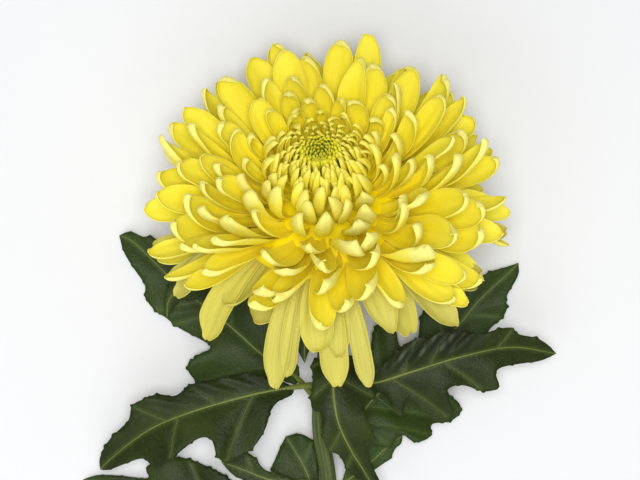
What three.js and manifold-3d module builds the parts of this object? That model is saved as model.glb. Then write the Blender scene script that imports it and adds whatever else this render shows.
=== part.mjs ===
// A large double chrysanthemum, cut with its stem and leaves and laid down on its side.
// Millimetres, +Z up. The origin is the middle of the spot on which the bloom rests, the stem lies
// towards -Y, and the bloom looks up and towards +Y.

import * as THREE from 'three';
import { mergeVertices } from 'three/addons/utils/BufferGeometryUtils.js';
import Module from 'manifold-3d';

const MERGE_WITHIN = 1e-4;

const wasm = await Module();
wasm.setup();

// Bloom: the middle of its receptacle, and how it leans
const RECEPTACLE = new THREE.Vector3(3, -40, 55);
const LEAN_DEGREES = 40;
const ROLL_DEGREES = 5;

// Florets from the eye out, by their number: where the root and the bend before the tip are (radius,
// height over the receptacle), the slope in degrees at which they leave and reach the bend, how far
// the tip curls in beyond it and how long it is, and their width and cupping
const STAGES = [
  { at: 0, root: [1, 17], bend: [2, 34], leave: 85, reach: 95, curl: 10, lip: 3, width: 2.4, cup: 1 },
  { at: 40, root: [3, 16], bend: [9, 33.5], leave: 62, reach: 108, curl: 30, lip: 4, width: 3.2, cup: 1 },
  { at: 90, root: [5, 14], bend: [15.5, 32], leave: 40, reach: 112, curl: 35, lip: 6.5, width: 4, cup: 0.8 },
  { at: 130, root: [7, 12], bend: [21.5, 31], leave: 22, reach: 108, curl: 50, lip: 8, width: 5, cup: 0.8 },
  { at: 150, root: [8, 11], bend: [26, 30], leave: 12, reach: 98, curl: 85, lip: 9, width: 7.6, cup: 0.9 },
  { at: 175, root: [10, 9], bend: [37, 31], leave: 5, reach: 75, curl: 110, lip: 9, width: 12, cup: 0.9 },
  { at: 202, root: [11, 6.5], bend: [52, 32], leave: 4, reach: 60, curl: 105, lip: 9, width: 15, cup: 0.85 },
  { at: 229, root: [12, 4], bend: [63, 27], leave: 4, reach: 48, curl: 95, lip: 9.5, width: 15.5, cup: 0.8 },
  { at: 261, root: [13, 2], bend: [67, 11.5], leave: 6, reach: 25, curl: 80, lip: 10, width: 15, cup: 0.75 },
  { at: 292, root: [13.5, 0], bend: [66, -9], leave: 8, reach: -5, curl: 60, lip: 10, width: 14, cup: 0.7 },
  { at: 318, root: [14, -1], bend: [61, -24], leave: 10, reach: -38, curl: 45, lip: 9, width: 13, cup: 0.7 },
];
// Long outer florets that hang below the rest, by where they stand round the bloom in degrees
const HANGING = [
  { clock: -171, bend: [67, -8], reach: -12, curl: 60, lip: 9, width: 9 },
  { clock: -165, bend: [64, -16], reach: -20, curl: 50, lip: 9, width: 9 },
  { clock: -159, bend: [64, -17], reach: -45, curl: 20, lip: 9, width: 13 },
  { clock: -139, bend: [64, -20], reach: -58, curl: 20, lip: 10, width: 15 },
  { clock: -134, bend: [53, -9], reach: -32, curl: 60, lip: 9, width: 18 },
  { clock: -124, bend: [50, -14], reach: -35, curl: 60, lip: 9, width: 20 },
  { clock: -110, bend: [70, -24], reach: -55, curl: 10, lip: 9, width: 13 },
  { clock: -105, bend: [67, -19], reach: -55, curl: 10, lip: 8, width: 9 },
  { clock: -95, bend: [59, -12], reach: -48, curl: 50, lip: 9, width: 16 },
  { clock: -89, bend: [67, -26], reach: -58, curl: 20, lip: 8, width: 13 },
  { clock: -85, bend: [60, -16], reach: -52, curl: 60, lip: 8, width: 11 },
  { clock: -79, bend: [68, -25], reach: -58, curl: 10, lip: 9, width: 9 },
  { clock: -67, bend: [58, -8], reach: -42, curl: 30, lip: 9, width: 15 },
  { clock: -57, bend: [53, -21], reach: -36, curl: 10, lip: 10, width: 18 },
  { clock: -46, bend: [64, -17], reach: -30, curl: 20, lip: 10, width: 14 },
  { clock: -35, bend: [60, -17], reach: -30, curl: 20, lip: 10, width: 13 },
  { clock: -20, bend: [59, -22], reach: -12, curl: 60, lip: 10, width: 9 },
  { clock: -20, bend: [57, -30], reach: -20, curl: 60, lip: 10, width: 10 },
  { clock: -11, bend: [68, -11], reach: 5, curl: 30, lip: 9, width: 12 },
];
// Florets that the bloom's weight spreads flat on the surface, given in the same way
const PRESSED = [
  { clock: 71, bend: [63, -28], reach: -25, curl: 5, lip: 10, width: 16 },
  { clock: 91, bend: [66, -19], reach: -22, curl: 5, lip: 9, width: 18 },
  { clock: 112, bend: [63, -28], reach: -25, curl: 5, lip: 10, width: 16 },
];
const YOUNG_FLORETS = 40;
const SMALL_FLORETS = 150;
const SKIRT_FLORETS = 285;
const ALL_FLORETS = 318;
// The hanging florets stand alone between these clocks: the skirt leaves that span out
const LOOSE_FROM = 272;
const LOOSE_CLOCKS = [-152, -52];
const SMALL_STEP = 3;
const SMALL_BREADTH = 1.5;
const GOLDEN_ANGLE = 2.399963;
const FLORET_THICKNESS = 1.5;
const BEND_AT = 0.86;
const TIP_AT = 0.68;
const TIP_TAPER = 0.8;
const ROOT_PULL = 0.45;
const BEND_PULL = 0.3;
const FOOT_SHARE = 0.3;
const FOOT_WIDENS = [0.1, 0.72];
const FOOT_CUP = 1.5;
const FOOT_CUP_TO = 0.5;
// How far single florets stray from their stage, and the numbers between which that sets in
const SPREAD = {
  turn: 0.09, radius: 0.05, height: 3.5, reach: 20, curl: 0.6, width: 0.16, cup: 0.2, lean: 6, twist: 0.85,
};
const SPREAD_FROM = 40;
const SPREAD_TO = 150;
// How much further in degrees the small florets above the eye nod over it than the others do, and the
// numbers between which that sets in and ends
const NOD = 90;
const NOD_FROM = [40, 70];
const NOD_TO = [130, 180];
const OUTER_LEAN = 3;
const OUTER_TWIST = 0.3;
// Places along a floret at which its sections lie, from the eye outwards
const YOUNG_PLACES = [0.65, BEND_AT];
const SMALL_PLACES = [0.47, BEND_AT];
const RAY_PLACES = [0.42, 0.66, BEND_AT];
const SKIRT_PLACES = [0.34, 0.66, BEND_AT];
const OUTER_PLACES = [0.17, 0.42, 0.67, BEND_AT];

// Core of the bloom, which the florets stand out of, as radius and height pairs, and the eye's socket
const CORE_FOOT = -3;
const CORE_LINE = [
  [16, -3], [36, -4], [46, -9], [52, 0], [47, 12], [39, 18], [30, 21], [24, 23.5], [17, 27.5], [10, 29],
];
const CORE_SIDES = 20;
const EYE_RADIUS = 8.2;
const EYE_FLOOR = 27;
const EYE_SHOULDER = 31.5;
const EYE_CROWN = 33;
const EYE_REACH = 45;
const EYE_SIDES = 16;
const CLEARANCE = 0.35;

// Involucre: its cup as radius and height pairs, and the rows of bracts that lie round it
const CUP_FOOT = [4.4, -13];
const CUP_WAIST = [9, -9];
const CUP_RIM = [15, CORE_FOOT - CLEARANCE];
const BRACT_ROWS = [
  { count: 11, from: [8, -9.3], to: [15, -6.6], halfWidth: 2.4 },
  { count: 13, from: [11, -7], to: [19.5, -4.9], halfWidth: 2.6 },
];
const BRACT_THICKNESS = 1;
const BRACT_CUPPING = 0.3;
const BRACT_SHOULDER = 0.6;
const CUP_SIDES = 16;

// Stem: the middle line below the neck, its radii at the neck and at the cut end, and its sides
const STEM_LINE = [
  [4.6, -56, 37], [5, -69, 28.5], [4, -88, 23.5], [0.5, -117, 19.5],
  [0, -136, 16.2], [3, -154, 12.8], [6, -187, 7.6], [7, -217, 3.4],
];
const NECK_STRAIGHT = 4;
const NECK_RADIUS = 3.1;
const CUT_RADIUS = 3.7;
const STEM_SIDES = 9;
const STEM_STEPS = 20;
const STEM_PLACES = 200;

// Leaves: the midrib from the stem to the tip, the share of it at which the blade starts, and the two
// margins from the base to the tip as seen from above, with how steeply each half rises outwards and
// how strongly it folds into waves
const BLADE_THICKNESS = 0.9;
const RIB_STEPS = 12;
const RIDGE = 0.3;
const KEEL = 1;
const STALK_RADIUS = 1.5;
const RIB_RADIUS = 1;
const STALK_STEPS = 4;
const STALK_SIDES = 6;
const STALK_REACH = 1.6;
const VEIN_SLANT = 0.45;
const WAVE_LENGTH = 4.2;
const WAVE_SHARE = 1 / 16;
const DROOP = 1 / 420;
const LEAVES = [
  {
    name: 'leaf_left_upper',
    midrib: [[-4.4, -124, 15.5], [-12, -112, 12], [-25, -104, 8], [-40, -91, 5.5], [-53, -81, 4.5],
      [-67, -69, 4], [-83, -54, 2.5], [-88, -52, 1.5]],
    bladeFrom: 0.12,
    rises: [0.02, 0.05],
    folds: [1, 1],
    sides: [
      [[-10, -117], [-17, -115], [-24, -120], [-36, -123], [-48, -121], [-54, -116], [-58, -110],
        [-56, -105], [-47, -101], [-53, -97], [-57, -95], [-64, -91], [-67, -88], [-72, -85],
        [-77, -78], [-76, -75], [-81, -67], [-86, -59]],
      [[-9, -110], [-12, -102], [-10, -92], [-18, -86], [-28, -88], [-30, -78], [-38, -70], [-46, -74],
        [-52, -70], [-54, -60], [-62, -56], [-67, -57], [-74, -52], [-77, -53], [-83, -50]],
    ],
  },
  {
    name: 'leaf_left_lower',
    midrib: [[-4.3, -116, 21.5], [-14, -117.5, 26.5], [-28, -120, 29], [-56, -128, 28], [-74, -136, 22],
      [-94, -152, 11], [-95.5, -154, 10]],
    bladeFrom: 0.12,
    rises: [0.25, 0.02],
    folds: [1, 2.2],
    sides: [
      [[-11, -120], [-18, -123], [-21, -127], [-23, -134], [-29, -143], [-40, -149], [-44, -146],
        [-46, -139], [-50, -138], [-58, -143], [-64, -148], [-72, -152], [-75, -148], [-85, -151],
        [-92, -154]],
      [[-15, -115], [-25, -113], [-32, -111], [-42, -113], [-56, -116], [-62, -121], [-70, -120],
        [-75, -122], [-81, -125], [-82, -131], [-89, -138], [-93, -143], [-96, -150]],
    ],
  },
  {
    name: 'leaf_right_upper',
    midrib: [[4.6, -140, 13], [16, -131.5, 10], [23.5, -123, 7.5], [39, -109, 5.5], [59, -93, 4.5],
      [69, -81, 4], [83, -68, 2.5], [87, -64, 1.5]],
    bladeFrom: 0.12,
    rises: [0.05, 0.02],
    folds: [1, 1],
    sides: [
      [[14, -125], [15, -115], [21, -111], [22, -102], [24, -92], [29, -88], [33, -92], [35, -101],
        [42, -99], [44, -88], [49, -77], [54, -73], [57, -78], [64, -75], [74, -68], [81, -66]],
      [[17, -136], [24, -143], [31, -144], [35, -138], [41, -142], [49, -139], [48, -134.5],
        [57, -133.5], [62, -128], [57, -121], [50, -114], [60, -110], [70, -102], [74, -93], [80, -88],
        [82, -83], [81, -80], [87, -69]],
    ],
  },
  {
    name: 'leaf_right_front',
    midrib: [[5.2, -116, 20.5], [12, -115.5, 25], [24, -115, 28], [37, -111, 30], [60, -104, 30],
      [82, -100, 26], [102, -103, 20]],
    bladeFrom: 0.14,
    rises: [0.3, -0.05],
    folds: [3, 1],
    sides: [
      [[19, -112], [25, -109], [33, -101], [41, -96], [47, -95], [53, -92.5], [60, -92], [68, -94],
        [76, -92], [83, -91.5], [84, -94], [93, -96], [98, -99]],
      [[20, -119], [28, -120], [30, -124], [35, -130], [37, -122], [44, -127], [49, -131], [56, -131],
        [57, -127], [54, -118], [61, -116], [70, -119], [77, -117], [75, -110], [87, -107], [95, -106]],
    ],
  },
  {
    name: 'leaf_middle',
    midrib: [[4.8, -96, 27.5], [5.5, -102, 34], [5.5, -111, 39], [6, -122, 41], [8, -132, 40],
      [13, -143, 36.5], [19, -153, 31], [25, -164, 23.5], [28, -170, 19]],
    bladeFrom: 0.14,
    rises: [-0.15, -0.15],
    folds: [1, 1],
    sides: [
      [[1, -105], [-2, -104], [-4, -108], [-3, -111], [-4, -121], [-3, -127], [0, -126], [1, -137],
        [4, -144], [8, -145], [11, -151], [16, -156], [22, -163]],
      [[10, -103], [17, -104], [20, -110], [24, -121], [19, -123], [21, -132], [24, -139], [21, -142],
        [22, -149], [25, -156], [28, -162]],
    ],
  },
  {
    name: 'leaf_stem_left',
    midrib: [[1.6, -173, 8.5], [-2, -164, 5.5], [-7, -153, 4.5], [-13, -143, 3.5], [-15, -140, 3]],
    bladeFrom: 0.1,
    rises: [0.03, 0.03],
    folds: [1, 1],
    sides: [
      [[-6, -170], [-14, -168], [-18, -163], [-22, -160], [-21, -154], [-18, -146]],
      [[0, -162], [-0.5, -155], [-1, -148], [-3, -142], [-9, -138.5]],
    ],
  },
  {
    name: 'leaf_left_bottom',
    midrib: [[2.6, -192, 6.5], [-10, -184, 5.5], [-30, -175, 4.5], [-54, -168, 4], [-80, -162, 3],
      [-104, -159, 1.5]],
    bladeFrom: 0.16,
    rises: [0.02, 0.04],
    folds: [1, 1],
    sides: [
      [[-15, -186], [-24, -192], [-32, -190], [-36, -182], [-46, -186], [-56, -184], [-60, -176],
        [-70, -178], [-76, -172], [-88, -169], [-96, -163]],
      [[-14, -178], [-22, -170], [-32, -166], [-41, -157], [-48, -153.5], [-57, -150], [-64, -149],
        [-77, -154], [-74, -158], [-89, -157], [-98, -157]],
    ],
  },
  {
    name: 'leaf_left_tip',
    midrib: [[0, -160, 12.5], [-10, -159, 12.5], [-22, -158, 12], [-33, -154, 11], [-43, -150.5, 10]],
    bladeFrom: 0.25,
    rises: [0.05, 0.05],
    folds: [1, 1],
    sides: [
      [[-15, -162], [-22, -165], [-28, -163], [-32, -159], [-38, -156]],
      [[-14, -157], [-20, -155], [-24, -154], [-28, -149], [-32, -146], [-38, -147]],
    ],
  },
  {
    name: 'leaf_right_lower',
    midrib: [[7.4, -163, 10.5], [13, -158, 8], [22, -151, 6.5], [30, -144, 5], [36, -139.5, 4]],
    bladeFrom: 0.15,
    rises: [0.02, 0.04],
    folds: [1, 1],
    sides: [
      [[11, -155], [13, -147], [20, -141], [27, -139], [32, -138]],
      [[16, -160], [24, -154], [31, -149], [33, -144.5], [36, -143]],
    ],
  },
  {
    name: 'leaf_neck_left',
    midrib: [[0.6, -72, 31], [-14, -70, 30], [-30, -68, 25], [-46, -69, 18], [-60, -74, 13.5],
      [-66, -81, 11], [-66.5, -88, 10]],
    bladeFrom: 0.2,
    rises: [-0.1, -0.1],
    folds: [1, 1],
    sides: [
      [[-20, -74], [-30, -77], [-38, -80], [-46, -79], [-54, -80], [-60, -80], [-64, -84]],
      [[-20, -64], [-30, -60], [-40, -60], [-48, -63], [-58, -67], [-66, -74], [-68, -82]],
    ],
  },
  {
    name: 'leaf_neck_front',
    midrib: [[1.4, -78, 28.5], [-3, -82, 30], [-5.5, -90, 31], [-6.5, -99, 30], [-6.5, -107, 28]],
    bladeFrom: 0.2,
    rises: [-0.15, -0.15],
    folds: [1, 1],
    sides: [
      [[-8, -84], [-10.5, -89], [-11, -96], [-10, -100]],
      [[-1, -85], [-1, -90], [-3, -97], [-5, -102]],
    ],
  },
];

const radians = THREE.MathUtils.degToRad;
const mix = THREE.MathUtils.lerp;
const smoothstep = THREE.MathUtils.smoothstep;
const vectorOf = ([x, y, z]) => new THREE.Vector3(x, y, z);
const headed = (angle) => new THREE.Vector2(Math.cos(angle), Math.sin(angle));

// A number between two limits that depends only on which piece asks and on what it asks for
function draw(number, question, low, high) {
  const value = Math.sin(number * 12.9898 + question * 78.233) * 43758.5453;
  return mix(low, high, value - Math.floor(value));
}

const bloomFrame = new THREE.Matrix4().makeRotationFromEuler(
  new THREE.Euler(-radians(LEAN_DEGREES), -radians(ROLL_DEGREES), 0),
);
bloomFrame.setPosition(RECEPTACLE);

// Closed solid from a geometry once its shared vertices are merged
function solidOf(geometry) {
  geometry.deleteAttribute('normal');
  geometry.deleteAttribute('uv');
  const merged = mergeVertices(geometry, MERGE_WITHIN);
  const mesh = new wasm.Mesh({
    numProp: 3,
    vertProperties: new Float32Array(merged.attributes.position.array),
    triVerts: new Uint32Array(merged.index.array),
  });
  return new wasm.Manifold(mesh);
}

// Closed solid from points and triangles, whichever way round all the triangles run
function solidFrom(points, faces) {
  const geometry = new THREE.BufferGeometry();
  const positions = new Float32Array(points.flatMap((point) => [point.x, point.y, point.z]));
  geometry.setAttribute('position', new THREE.BufferAttribute(positions, 3));
  geometry.setIndex(faces.flat());
  const solid = solidOf(geometry);
  if (solid.volume() > 0) return solid;
  geometry.setIndex(faces.flatMap(([a, b, c]) => [a, c, b]));
  return solidOf(geometry);
}

function meshOf(name, solid, material) {
  const { vertProperties, triVerts } = solid.getMesh();
  const geometry = new THREE.BufferGeometry();
  geometry.setAttribute('position', new THREE.BufferAttribute(vertProperties, 3));
  geometry.setIndex(new THREE.BufferAttribute(triVerts, 1));
  const mesh = new THREE.Mesh(geometry, material);
  mesh.name = name;
  return mesh;
}

// The largest body alone: loose scraps that a cut leaves are dropped
function largestBody(solid) {
  return solid.decompose().reduce((best, body) => (body.volume() > best.volume() ? body : best));
}

// Solid skinned over rings of points that all have the same count, closed at both ends by fans.
// A last ring of one point closes to that point.
function skinned(rings) {
  const points = rings.flat();
  const faces = [];
  const count = rings[0].length;
  let start = 0;
  for (let k = 2; k < count; k += 1) faces.push([0, k, k - 1]);
  for (let ring = 1; ring < rings.length; ring += 1) {
    const next = start + count;
    const single = rings[ring].length === 1;
    for (let k = 0; k < count; k += 1) {
      const after = (k + 1) % count;
      if (single) {
        faces.push([start + k, start + after, next]);
      } else {
        faces.push([start + k, start + after, next + after]);
        faces.push([start + k, next + after, next + k]);
      }
    }
    start = next;
  }
  if (rings[rings.length - 1].length > 1) {
    for (let k = 2; k < count; k += 1) faces.push([start, start + k - 1, start + k]);
  }
  return solidFrom(points, faces);
}

// Round bar along a curve, with a radius that changes evenly from one end to the other
function bar(curve, steps, sides, firstRadius, lastRadius, lastShare = 1) {
  const rings = [];
  for (let step = 0; step <= steps; step += 1) {
    const share = (step / steps) * lastShare;
    const centre = curve.getPointAt(share);
    const along = curve.getTangentAt(share);
    const right = new THREE.Vector3(0, 0, 1).cross(along).normalize();
    const up = along.clone().cross(right);
    const radius = mix(firstRadius, lastRadius, step / steps);
    const ring = [];
    for (let side = 0; side < sides; side += 1) {
      const angle = ((side + 0.5) / sides) * Math.PI * 2 - Math.PI / 2;
      const point = centre.clone().addScaledVector(right, radius * Math.cos(angle));
      point.addScaledVector(up, radius * Math.sin(angle));
      point.z = Math.max(0, point.z);
      ring.push(point);
    }
    rings.push(ring);
  }
  return skinned(rings);
}

// Body of revolution about the bloom's axis from radius and height pairs
function turned(profile, sides) {
  const points = profile.map(([radius, height]) => new THREE.Vector2(radius, height));
  const geometry = new THREE.LatheGeometry(points, sides);
  geometry.rotateX(Math.PI / 2);
  geometry.applyMatrix4(bloomFrame);
  return solidOf(geometry);
}

// Values of the stage rows at a floret's number
function stageAt(number) {
  const upper = Math.max(1, STAGES.findIndex((stage) => stage.at >= number));
  const [low, high] = [STAGES[upper - 1], STAGES[upper]];
  const share = (number - low.at) / (high.at - low.at);
  const value = (key) => mix(low[key], high[key], share);
  const pair = (key) => [0, 1].map((k) => mix(low[key][k], high[key][k], share));
  return {
    root: pair('root'),
    bend: pair('bend'),
    leave: value('leave'),
    reach: value('reach'),
    curl: value('curl'),
    lip: value('lip'),
    width: value('width'),
    cup: value('cup'),
  };
}

function nodOf(number, turn) {
  const window = smoothstep(number, ...NOD_FROM) * (1 - smoothstep(number, ...NOD_TO));
  return NOD * window * Math.max(0, Math.sin(turn));
}

// One floret with its own small differences from its stage
function floretAt(number) {
  const stage = stageAt(number);
  const looseness = smoothstep(number, SPREAD_FROM, SPREAD_TO);
  const spread = (key) => {
    const question = Object.keys(SPREAD).indexOf(key) + 1;
    return draw(number, question, -SPREAD[key], SPREAD[key]) * looseness;
  };
  const turn = number * GOLDEN_ANGLE + spread('turn');
  return {
    ...stage,
    turn,
    bend: [stage.bend[0] * (1 + spread('radius')), stage.bend[1] + spread('height')],
    reach: stage.reach + spread('reach'),
    curl: stage.curl * (1 + spread('curl')) + nodOf(number, turn),
    width: stage.width * (1 + spread('width')),
    cup: stage.cup * (1 + spread('cup')),
    lean: spread('lean'),
    twist: spread('twist'),
  };
}

// An outer floret from a row of its own, otherwise like the outermost stage
function outerFloret(row, order) {
  return {
    ...STAGES[STAGES.length - 1],
    ...row,
    turn: radians(row.clock),
    lean: draw(order, 1, -OUTER_LEAN, OUTER_LEAN),
    twist: draw(order, 2, -OUTER_TWIST, OUTER_TWIST),
  };
}

// Spine of a floret in the plane through the axis: a curve from the root to the bend, then an arc
// that curls in to the tip
function spineOf(floret) {
  const root = new THREE.Vector2(...floret.root);
  const bend = new THREE.Vector2(...floret.bend);
  const span = root.distanceTo(bend);
  const leave = radians(floret.leave);
  const reach = radians(floret.reach);
  const afterRoot = headed(leave).multiplyScalar(ROOT_PULL * span);
  const beforeBend = headed(reach).multiplyScalar(-BEND_PULL * span);
  const curve = new THREE.CubicBezierCurve(root, afterRoot.add(root), beforeBend.add(bend), bend);
  const curl = radians(floret.curl);
  const radius = floret.lip / curl;
  return (along) => {
    if (along <= BEND_AT) {
      const share = along / BEND_AT;
      return { point: curve.getPoint(share), tangent: curve.getTangent(share) };
    }
    const angle = reach + (curl * (along - BEND_AT)) / (1 - BEND_AT);
    const point = new THREE.Vector2(Math.sin(angle) - Math.sin(reach), Math.cos(reach) - Math.cos(angle));
    return {
      point: point.multiplyScalar(radius).add(bend),
      tangent: headed(angle),
    };
  };
}

// Width along a floret as a share of its widest: a narrow foot, a broad blade and a pointed end
function widthShare(along) {
  const foot = mix(FOOT_SHARE, 1, smoothstep(along, ...FOOT_WIDENS));
  const beyond = Math.max(0, (along - TIP_AT) / (1 - TIP_AT));
  return foot * (1 - beyond ** 2) ** TIP_TAPER;
}

// Four points round a floret at a place along it: one edge, the back, the other edge and the face
function sectionOf(floret, spine, along) {
  const { point, tangent } = spine(along);
  const halfWidth = 0.5 * floret.width * widthShare(along);
  const cup = floret.cup * mix(FOOT_CUP, 1, smoothstep(along, 0, FOOT_CUP_TO));
  const twist = floret.twist * along;
  const outwards = new THREE.Vector3(Math.cos(floret.turn), Math.sin(floret.turn), 0);
  const sideways = new THREE.Vector3(-Math.sin(floret.turn), Math.cos(floret.turn), 0);
  const inwards = new THREE.Vector3(0, 0, tangent.x).addScaledVector(outwards, -tangent.y);
  const across = sideways.clone().multiplyScalar(Math.cos(twist)).addScaledVector(inwards, Math.sin(twist));
  const facing = inwards.clone().multiplyScalar(Math.cos(twist)).addScaledVector(sideways, -Math.sin(twist));
  const middle = outwards.clone().multiplyScalar(point.x).addScaledVector(sideways, floret.lean * along ** 2);
  middle.z = point.y;
  const half = (halfWidth * Math.sin(cup)) / cup;
  const raised = (halfWidth * (1 - Math.cos(cup))) / cup;
  const thickness = FLORET_THICKNESS * Math.min(1, halfWidth / 2);
  const place = (sideStep, faceStep, floor) => {
    const corner = middle.clone().addScaledVector(across, sideStep).addScaledVector(facing, faceStep);
    corner.applyMatrix4(bloomFrame);
    corner.z = Math.max(corner.z, floor);
    return corner;
  };
  return [
    place(-half, raised, 0),
    place(0, -thickness / 2, 0),
    place(half, raised, 0),
    place(0, thickness / 2, thickness),
  ];
}

// A floret skinned over its sections at some places along it, closed at the tip
function floretSolid(floret, places) {
  const spine = spineOf(floret);
  const rings = places.map((along) => sectionOf(floret, spine, along));
  rings.push([sectionOf(floret, spine, 1)[1]]);
  return skinned(rings);
}

function coreSolid() {
  return turned([[0, CORE_FOOT], ...CORE_LINE, [0, EYE_CROWN]], CORE_SIDES);
}

// Round room of the eye, from its floor up past every floret
function eyeRoom(radius, floor) {
  return turned([[0, floor], [radius, floor], [radius, EYE_REACH], [0, EYE_REACH]], EYE_SIDES);
}

// The small florets are fewer than on the real bloom, and broader in turn
function broader(floret) {
  return { ...floret, width: floret.width * SMALL_BREADTH };
}

// Whether a skirt floret is left out because the hanging ones stand alone there
function isLeftOut(number, turn) {
  const clock = THREE.MathUtils.euclideanModulo(THREE.MathUtils.radToDeg(turn) + 180, 360) - 180;
  return number >= LOOSE_FROM && clock > LOOSE_CLOCKS[0] && clock < LOOSE_CLOCKS[1];
}

function rayFlorets() {
  const solids = [coreSolid()];
  for (let number = YOUNG_FLORETS; number < SMALL_FLORETS; number += SMALL_STEP) {
    solids.push(floretSolid(broader(floretAt(number)), SMALL_PLACES));
  }
  for (let number = SMALL_FLORETS; number < ALL_FLORETS; number += 1) {
    const places = number < SKIRT_FLORETS ? RAY_PLACES : SKIRT_PLACES;
    const floret = floretAt(number);
    if (!isLeftOut(number, floret.turn)) solids.push(floretSolid(floret, places));
  }
  [...HANGING, ...PRESSED].forEach((row, order) => {
    solids.push(floretSolid(outerFloret(row, order), OUTER_PLACES));
  });
  const socket = eyeRoom(EYE_RADIUS, EYE_FLOOR);
  return largestBody(wasm.Manifold.union(solids).subtract(socket));
}

function youngFlorets() {
  const radius = EYE_RADIUS - CLEARANCE;
  const floor = EYE_FLOOR + CLEARANCE;
  const solids = [turned([[0, floor], [radius, floor], [radius, EYE_SHOULDER], [0, EYE_CROWN]], EYE_SIDES)];
  for (let number = 0; number < YOUNG_FLORETS; number += SMALL_STEP) {
    solids.push(floretSolid(broader(floretAt(number)), YOUNG_PLACES));
  }
  return largestBody(wasm.Manifold.union(solids).intersect(eyeRoom(radius, floor)));
}

// Thin pointed bract that lies along a row's slope
function bractSolid(row, turn) {
  const [fromRadius, fromHeight] = row.from;
  const [toRadius, toHeight] = row.to;
  const outwards = new THREE.Vector3(Math.cos(turn), Math.sin(turn), 0);
  const sideways = new THREE.Vector3(-Math.sin(turn), Math.cos(turn), 0);
  const corner = (share, sideStep, lift) => {
    const point = outwards.clone().multiplyScalar(mix(fromRadius, toRadius, share));
    point.addScaledVector(sideways, sideStep);
    point.z = mix(fromHeight, toHeight, share) + lift;
    return point.applyMatrix4(bloomFrame);
  };
  const ring = (share, halfWidth) => [
    corner(share, -halfWidth, BRACT_CUPPING),
    corner(share, 0, -BRACT_THICKNESS / 2),
    corner(share, halfWidth, BRACT_CUPPING),
    corner(share, 0, BRACT_THICKNESS / 2),
  ];
  return skinned([ring(0, row.halfWidth), ring(BRACT_SHOULDER, row.halfWidth), [corner(1, 0, 0)]]);
}

function involucre() {
  const solids = [turned([[0, CUP_FOOT[1]], CUP_FOOT, CUP_WAIST, CUP_RIM, [0, CUP_RIM[1]]], CUP_SIDES)];
  BRACT_ROWS.forEach((row, order) => {
    for (let k = 0; k < row.count; k += 1) {
      solids.push(bractSolid(row, ((k + order * 0.5) / row.count) * Math.PI * 2));
    }
  });
  return largestBody(wasm.Manifold.union(solids));
}

// The stem's middle line, which leaves the involucre along the bloom's axis
function stemCurve() {
  const [top, below] = [CUP_FOOT[1] - CLEARANCE, CUP_FOOT[1] - NECK_STRAIGHT].map(
    (height) => new THREE.Vector3(0, 0, height).applyMatrix4(bloomFrame),
  );
  return new THREE.CatmullRomCurve3([top, below, ...STEM_LINE.map(vectorOf)]);
}

function stem(margin = 0) {
  return bar(stemCurve(), STEM_STEPS, STEM_SIDES, NECK_RADIUS + margin, CUT_RADIUS + margin);
}

// Point of the stem's middle line nearest to another point
function onStem(point) {
  const places = stemCurve().getSpacedPoints(STEM_PLACES);
  return places.reduce((best, place) => (place.distanceTo(point) < best.distanceTo(point) ? place : best));
}

// Step of the midrib from which a vein runs out to a point of the margin: a little nearer the base
// than the nearest step, as veins slant forwards
function footOf(rib, point) {
  const gaps = rib.map((place) => Math.hypot(place.x - point[0], place.y - point[1]));
  const distance = Math.min(...gaps);
  const stepLength = rib[0].distanceTo(rib[rib.length - 1]) / (rib.length - 1);
  return { step: Math.round(gaps.indexOf(distance) - (VEIN_SLANT * distance) / stepLength), stepLength };
}

// Height of the waves of a blade at a distance along the midrib and out from it
function waveAt(along, out, folding) {
  return Math.sin(along / WAVE_LENGTH) * out * WAVE_SHARE * folding - out * out * DROOP;
}

// Blade of a leaf: triangles between the midrib and each margin, the same on both faces, thicker along
// the midrib
function bladeSolid(leaf, rib) {
  const last = rib.length - 1;
  const spots = rib.map((point) => ({ point, low: -KEEL, high: BLADE_THICKNESS / 2 + RIDGE }));
  const tops = [];
  const margins = leaf.sides.map((side, order) => {
    const margin = [];
    let step = 0;
    const triangle = (a, b, c) => tops.push(order ? [a, c, b] : [a, b, c]);
    side.forEach((flat) => {
      const foot = footOf(rib, flat);
      const target = THREE.MathUtils.clamp(foot.step, step, last - 1);
      const here = spots.length;
      const before = margin.length ? margin[margin.length - 1] : here;
      for (; step < target; step += 1) triangle(step, step + 1, before);
      if (before !== here) triangle(step, here, before);
      const start = rib[step];
      const out = Math.hypot(flat[0] - start.x, flat[1] - start.y);
      const wave = waveAt(step * foot.stepLength, out, leaf.folds[order]);
      const height = start.z + leaf.rises[order] * out + wave;
      const point = new THREE.Vector3(flat[0], flat[1], Math.max(height, BLADE_THICKNESS / 2));
      spots.push({ point, low: -BLADE_THICKNESS / 2, high: BLADE_THICKNESS / 2 });
      margin.push(here);
    });
    for (; step < last; step += 1) triangle(step, step + 1, margin[margin.length - 1]);
    return margin;
  });
  const raised = (index) => index + spots.length;
  const faces = tops.flatMap(([a, b, c]) => [[raised(a), raised(b), raised(c)], [a, c, b]]);
  const rim = [0, ...margins[1], last, ...margins[0].reverse()];
  rim.forEach((a, k) => {
    const b = rim[(k + 1) % rim.length];
    faces.push([a, b, raised(b)], [a, raised(b), raised(a)]);
  });
  const level = (key) => spots.map((spot) => spot.point.clone().setZ(spot.point.z + spot[key]));
  return solidFrom([...level('low'), ...level('high')], faces);
}

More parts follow.
